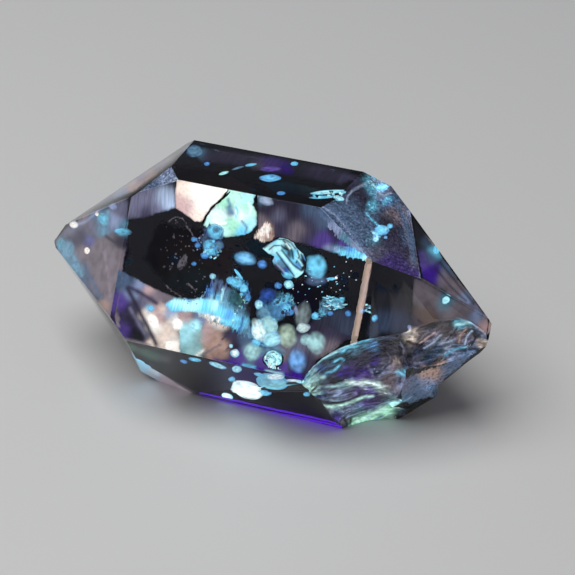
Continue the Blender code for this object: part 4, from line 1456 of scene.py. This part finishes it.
# each line: the face, then as for the drops behind the front face
SIDE_DROPS = [
    (LOWER, 0.4, 183, 361, 8, 4, BLUE, DEEP_BLUE, -15), (LOWER, 0.4, 194, 359, 13, 4, AQUA, BLUE, -10),
    (LOWER, 0.4, 216, 364.5, 18, 5, PALE_AQUA, BLUE, -20),
    (LOWER, 0.4, 235, 368, 10, 7, PALE_AQUA, AQUA, 0), (LOWER, 0.5, 230, 378, 7, 5, AQUA, BLUE, 0),
    (LOWER, 0.5, 245, 389, 31, 18, ICE * 1.5, ICE, -20),
    (LOWER, 0.4, 226, 396, 12, 6, ICE * 1.2, AQUA, -20),
    (LOWER, 0.6, 270, 381, 33, 17, seen(130, 200, 215), AQUA, -12),
    (LOWER, 0.35, 258, 374, 12, 4, AQUA, TEAL_GREY, -15), (LOWER, 0.3, 274, 376, 18, 7, ICE, AQUA, 0),
    (LOWER, 0.3, 293, 380, 17, 3, ICE, AQUA, -5), (LOWER, 0.5, 297, 395, 6, 4, AQUA, BLUE, -20),
    (LOWER, 0.4, 262, 393, 10, 6, AQUA, BLUE, 0), (LOWER, 0.2, 299, 382, 8, 2.5, PALE_AQUA, AQUA, -15),
    (TOP, 0.8, 195, 152, 17, 12, TEAL_GREY * 0.8, DEEP_BLUE * 0.4, 0),
    (TOP, 0.5, 207, 164, 6, 4, BLUE, DEEP_BLUE, 0), (TOP, 0.6, 270, 169, 22, 5, VIOLET, DUSK, 0),
    (TOP, 0.5, 270, 178, 21, 7, seen(110, 190, 235), BLUE, 0),
    (TOP, 0.5, 281, 193, 9, 4, BLUE, DEEP_BLUE, 0), (TOP, 0.5, 224, 173, 10, 3, PALE_AQUA, GREEN_ICE, 15),
    (TOP, 0.5, 238, 168, 12, 2, TEAL_GREY, STEEL, 15), (TOP, 0.5, 251, 165, 12, 3, AQUA, TEAL_GREY, 8),
    (TOP, 0.4, 294, 164, 8, 4, AQUA, BLUE, 0), (TOP, 0.4, 327, 192, 34, 4, PALE_AQUA, AQUA, 5),
    (TOP, 0.5, 322, 197, 26, 3, AQUA, TEAL_GREY, 3), (TOP, 0.4, 338, 197, 10, 4, PALE_AQUA, AQUA, 0),
    # the cream drops just under the left face are painted glints of light on its surface
    (LEFT, 0.1, 74, 225, 9, 7, CREAM, PALE_LAVENDER, 0), (LEFT, 0.2, 97, 214.5, 4, 4, CREAM, TAN, 0),
    (LEFT, 0.1, 87, 250.5, 6, 7, CREAM, ROSE, 0), (LEFT, 0.2, 120, 231, 12, 5, AQUA, BLUE, 0),
    (LEFT, 0.3, 103, 222, 8, 13, TEAL_GREY, STEEL, 20), (SHOULDER, 0.3, 382, 230, 15, 10, AQUA, BLUE, 0),
    (SHOULDER, 0.3, 376, 238, 6, 8, PALE_AQUA, BLUE, 0), (SHOULDER, 0.3, 390, 226, 6, 5, AQUA, BLUE, 0),
    (SHOULDER, 0.3, 383, 187, 14, 8, AQUA, BLUE, 20), (RIGHT_TOP, 0.2, 436, 250, 7, 10, AQUA, BLUE, 0),
    (RIGHT_FACE, 0.3, 446, 300, 8, 7, PALE_AQUA, AQUA, 20),
    (RIGHT_FACE, 0.5, 409, 326, 6, 6, LAVENDER, STEEL, 0),
]
for facet, depth, x, y, width, height, core, rim, turn in SIDE_DROPS:
    drop(drops, facet, depth, x, y, width, height, core, rim, turn=turn,
         finer=fineness(width, height), soft=0.4, lumps=0.07)
swarm(drops, LOWER, 0.5, 272, 380, 30, 14, 24, 3.5, (AQUA, PALE_TEAL, BLUE), turn=-10)
swarm(drops, TOP, 0.4, 328, 194, 32, 7, 24, 2.6, (PALE_AQUA, AQUA, NIGHT), turn=4)
swarm(drops, SHOULDER, 0.2, 381, 231, 20, 14, 18, 3.0, (PALE_AQUA, AQUA, BLUE))
print("side veils:", len(side.faces), "faces, drops:", len(drops.faces), "faces")

# %% [markdown]
# ## The far side
# The photograph doesn't show the back. The same veils and drops are taken to go on there, a few of each,
# placed in steps from the middle of each back face.

# %% Veils and drops behind the back faces
BACK_DABS = [
    (-100, -20, 20, PINK_GREY), (-70, 0, 16, TAN), (-60, 20, 14, PALE_TEAL), (-30, -10, 16, ROSE),
    (-10, 15, 14, CREAM), (20, 0, 18, VIOLET), (50, 20, 16, INDIGO), (70, -10, 18, DULL_LAVENDER),
    (100, 10, 18, STEEL), (0, -30, 14, AQUA), (40, -30, 12, PALE_AQUA), (-120, 20, 14, STEEL),
]
BACK_DEPTH = 0.5
BACK_GLOW = 0.55
BACK_VEILS = [
    (BACK_LOWER, [(-105, -28), (-60, -34), (-22, -18), (-14, 12), (-40, 34), (-82, 30), (-112, 8)], CLOUDED),
    (BACK_LOWER, [(18, 6), (58, -6), (98, 4), (112, 26), (70, 40), (30, 34)], STREAKED),
    (BACK_LOWER, [(-24, -28), (10, -40), (58, -38), (74, -24), (36, -16), (0, -12)], COMBED),
    (BACK_UPPER, [(-84, -14), (-50, -24), (-14, -14), (-24, 12), (-66, 18)], STREAKED),
    (BACK_UPPER, [(34, -8), (66, -18), (96, -6), (84, 16), (46, 20)], CLOUDED),
    (BACK_LEFT_UPPER, [(-30, -14), (6, -24), (34, -6), (24, 22), (-16, 24)], CLOUDED),
    (BACK_LEFT_LOWER, [(-28, -20), (8, -26), (30, 0), (12, 24), (-24, 14)], STREAKED),
    (BACK_RIGHT_UPPER, [(-26, -10), (4, -20), (28, -4), (16, 18), (-18, 18)], BLOTCHED),
]
for facet, corners, look in BACK_VEILS:
    veil(side, facet, BACK_DEPTH, corners, BACK_DABS, look=look, soft=7, cover=0.9, gain=BACK_GLOW,
         carry=straight_in)
BACK_DEPTHS = (0.3, 0.8)
BACK_SIZE_ROOTS = (1.6, 3.6)
BACK_SHAPES = (0.4, 0.9)
BACK_SWING = 30
BACK_SOFTNESS = (0.3, 1.0)
BACK_DROP_GLOW = 0.6
# each line: the face, the count of drops, and the width and height in pixel steps that they spread over
BACK_SPREADS = [
    (BACK_LOWER, 40, 230, 70), (BACK_UPPER, 24, 200, 44), (BACK_LEFT_UPPER, 12, 60, 44),
    (BACK_LEFT_LOWER, 10, 60, 44), (BACK_RIGHT_UPPER, 10, 56, 40), (BACK_RIGHT_LOWER, 6, 30, 24),
]
BACK_DROP_COLOURS = (AQUA, PALE_AQUA, TEAL_GREY, BLUE)
BACK_SWARM_COLOURS = [paint * BACK_DROP_GLOW for paint in (AQUA, TEAL_GREY, PALE_AQUA)]
for facet, count, wide, high in BACK_SPREADS:
    for _ in range(count):
        away, angle = sqrt(draw.random()) / 2, draw.uniform(0, 2 * pi)
        size = draw.uniform(*BACK_SIZE_ROOTS) ** 2
        drop(drops, facet, draw.uniform(*BACK_DEPTHS), away * cos(angle) * wide, away * sin(angle) * high,
             size, size * draw.uniform(*BACK_SHAPES), draw.choice(BACK_DROP_COLOURS) * BACK_DROP_GLOW,
             DEEP_BLUE * BACK_DROP_GLOW, turn=draw.uniform(-BACK_SWING, BACK_SWING),
             finer=fineness(size, size), soft=draw.choice(BACK_SOFTNESS), lumps=0.1, carry=straight_in)
    swarm(drops, facet, 0.6, draw.uniform(-0.25, 0.25) * wide, 0, wide * 0.2, high * 0.4, 16, 3.0,
          BACK_SWARM_COLOURS, carry=straight_in)
print("with the far side:", len(side.faces), "faces in the veils,", len(drops.faces), "in the drops")

# %% [markdown]
# All the films and drops were collected in three meshes. Each becomes one piece that rides with the crystal
# and carries the five glowing materials.

# %% Put the oil into the crystal
# the front veils also hold a painted reflection, the side veils a painted glint, and the drops painted
# glints on the left face
for name, mesh in (("front_oil_and_reflection_veils", front), ("side_oil_and_glint_veils", side), ("oil_drops_and_glints", drops)):
    mesh.normal_update()
    oil = new_piece(name, mesh, *GLOWS)
    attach(oil, "root")
    print(name, len(oil.data.polygons), "faces")

# %% [markdown]
# ## Floor and light
# A pale plain floor, one big soft light overhead, and a small warm one low beside the camera that gives the
# peach glints.

# %% Floor
FLOOR_SIZE = 3.0
FLOOR_COLOUR = (0.64, 0.64, 0.63, 1)
FLOOR_DROP = 0.02 * MM
ground = bmesh.new()
bmesh.ops.create_grid(ground, x_segments=1, y_segments=1, size=FLOOR_SIZE / 2)
pale = Paint("pale_floor")
pale.surface(Base_Color=FLOOR_COLOUR, Roughness=0.7)
floor = new_piece("floor", ground, pale.material)
floor.location.z = -FLOOR_DROP
print("floor:", FLOOR_SIZE, "m wide")


# %% [markdown]
# The lamps are squares that face the crystal. The room itself is dim and a little blue, so that the clear
# faces stay dark where they mirror it.

# %% Lights
ROOM_COLOUR = (0.09, 0.096, 0.115, 1)
PEACH_LIGHT = (1, 0.78, 0.62)


def softbox(name, toward, away, size, glow, colour=(1, 1, 1)):
    """A square lamp in a direction, a distance away in mm, its size in mm and its brightness per area."""
    lamp = bpy.data.lights.new(name, "AREA")
    lamp.size = size * MM
    lamp.energy = glow * pi * (size * MM) ** 2
    lamp.color = colour
    holder = bpy.data.objects.new(name, lamp)
    bpy.context.scene.collection.objects.link(holder)
    way = Vector(toward).normalized()
    turned = way.to_track_quat("Z", "Y").to_matrix().to_4x4()
    holder.matrix_world = Matrix.Translation(CAMERA_AIM + way * away * MM) @ turned


softbox("key", toward=(-0.25, -0.20, 0.94), away=170, size=150, glow=3.8)
softbox("warm", toward=(0.35, -0.845, 0.40), away=120, size=22, glow=6, colour=PEACH_LIGHT)
world = bpy.data.worlds.new("studio")
bpy.context.scene.world = world
world.use_nodes = True
world.node_tree.nodes["Background"].inputs["Color"].default_value = ROOM_COLOUR
world.node_tree.nodes["Background"].inputs["Strength"].default_value = 1.0

# %% [markdown]
# A line of sight may pass many films before it leaves the crystal, so light is followed through many
# surfaces. The clamp keeps stray bright dots out of the picture.

# %% Picture settings
scene = bpy.context.scene
scene.view_settings.view_transform = "Standard"
scene.cycles.max_bounces = 24
scene.cycles.transmission_bounces = 20
scene.cycles.transparent_max_bounces = 32
scene.cycles.sample_clamp_indirect = 3.0
print("light passes up to", scene.cycles.transparent_max_bounces, "films")
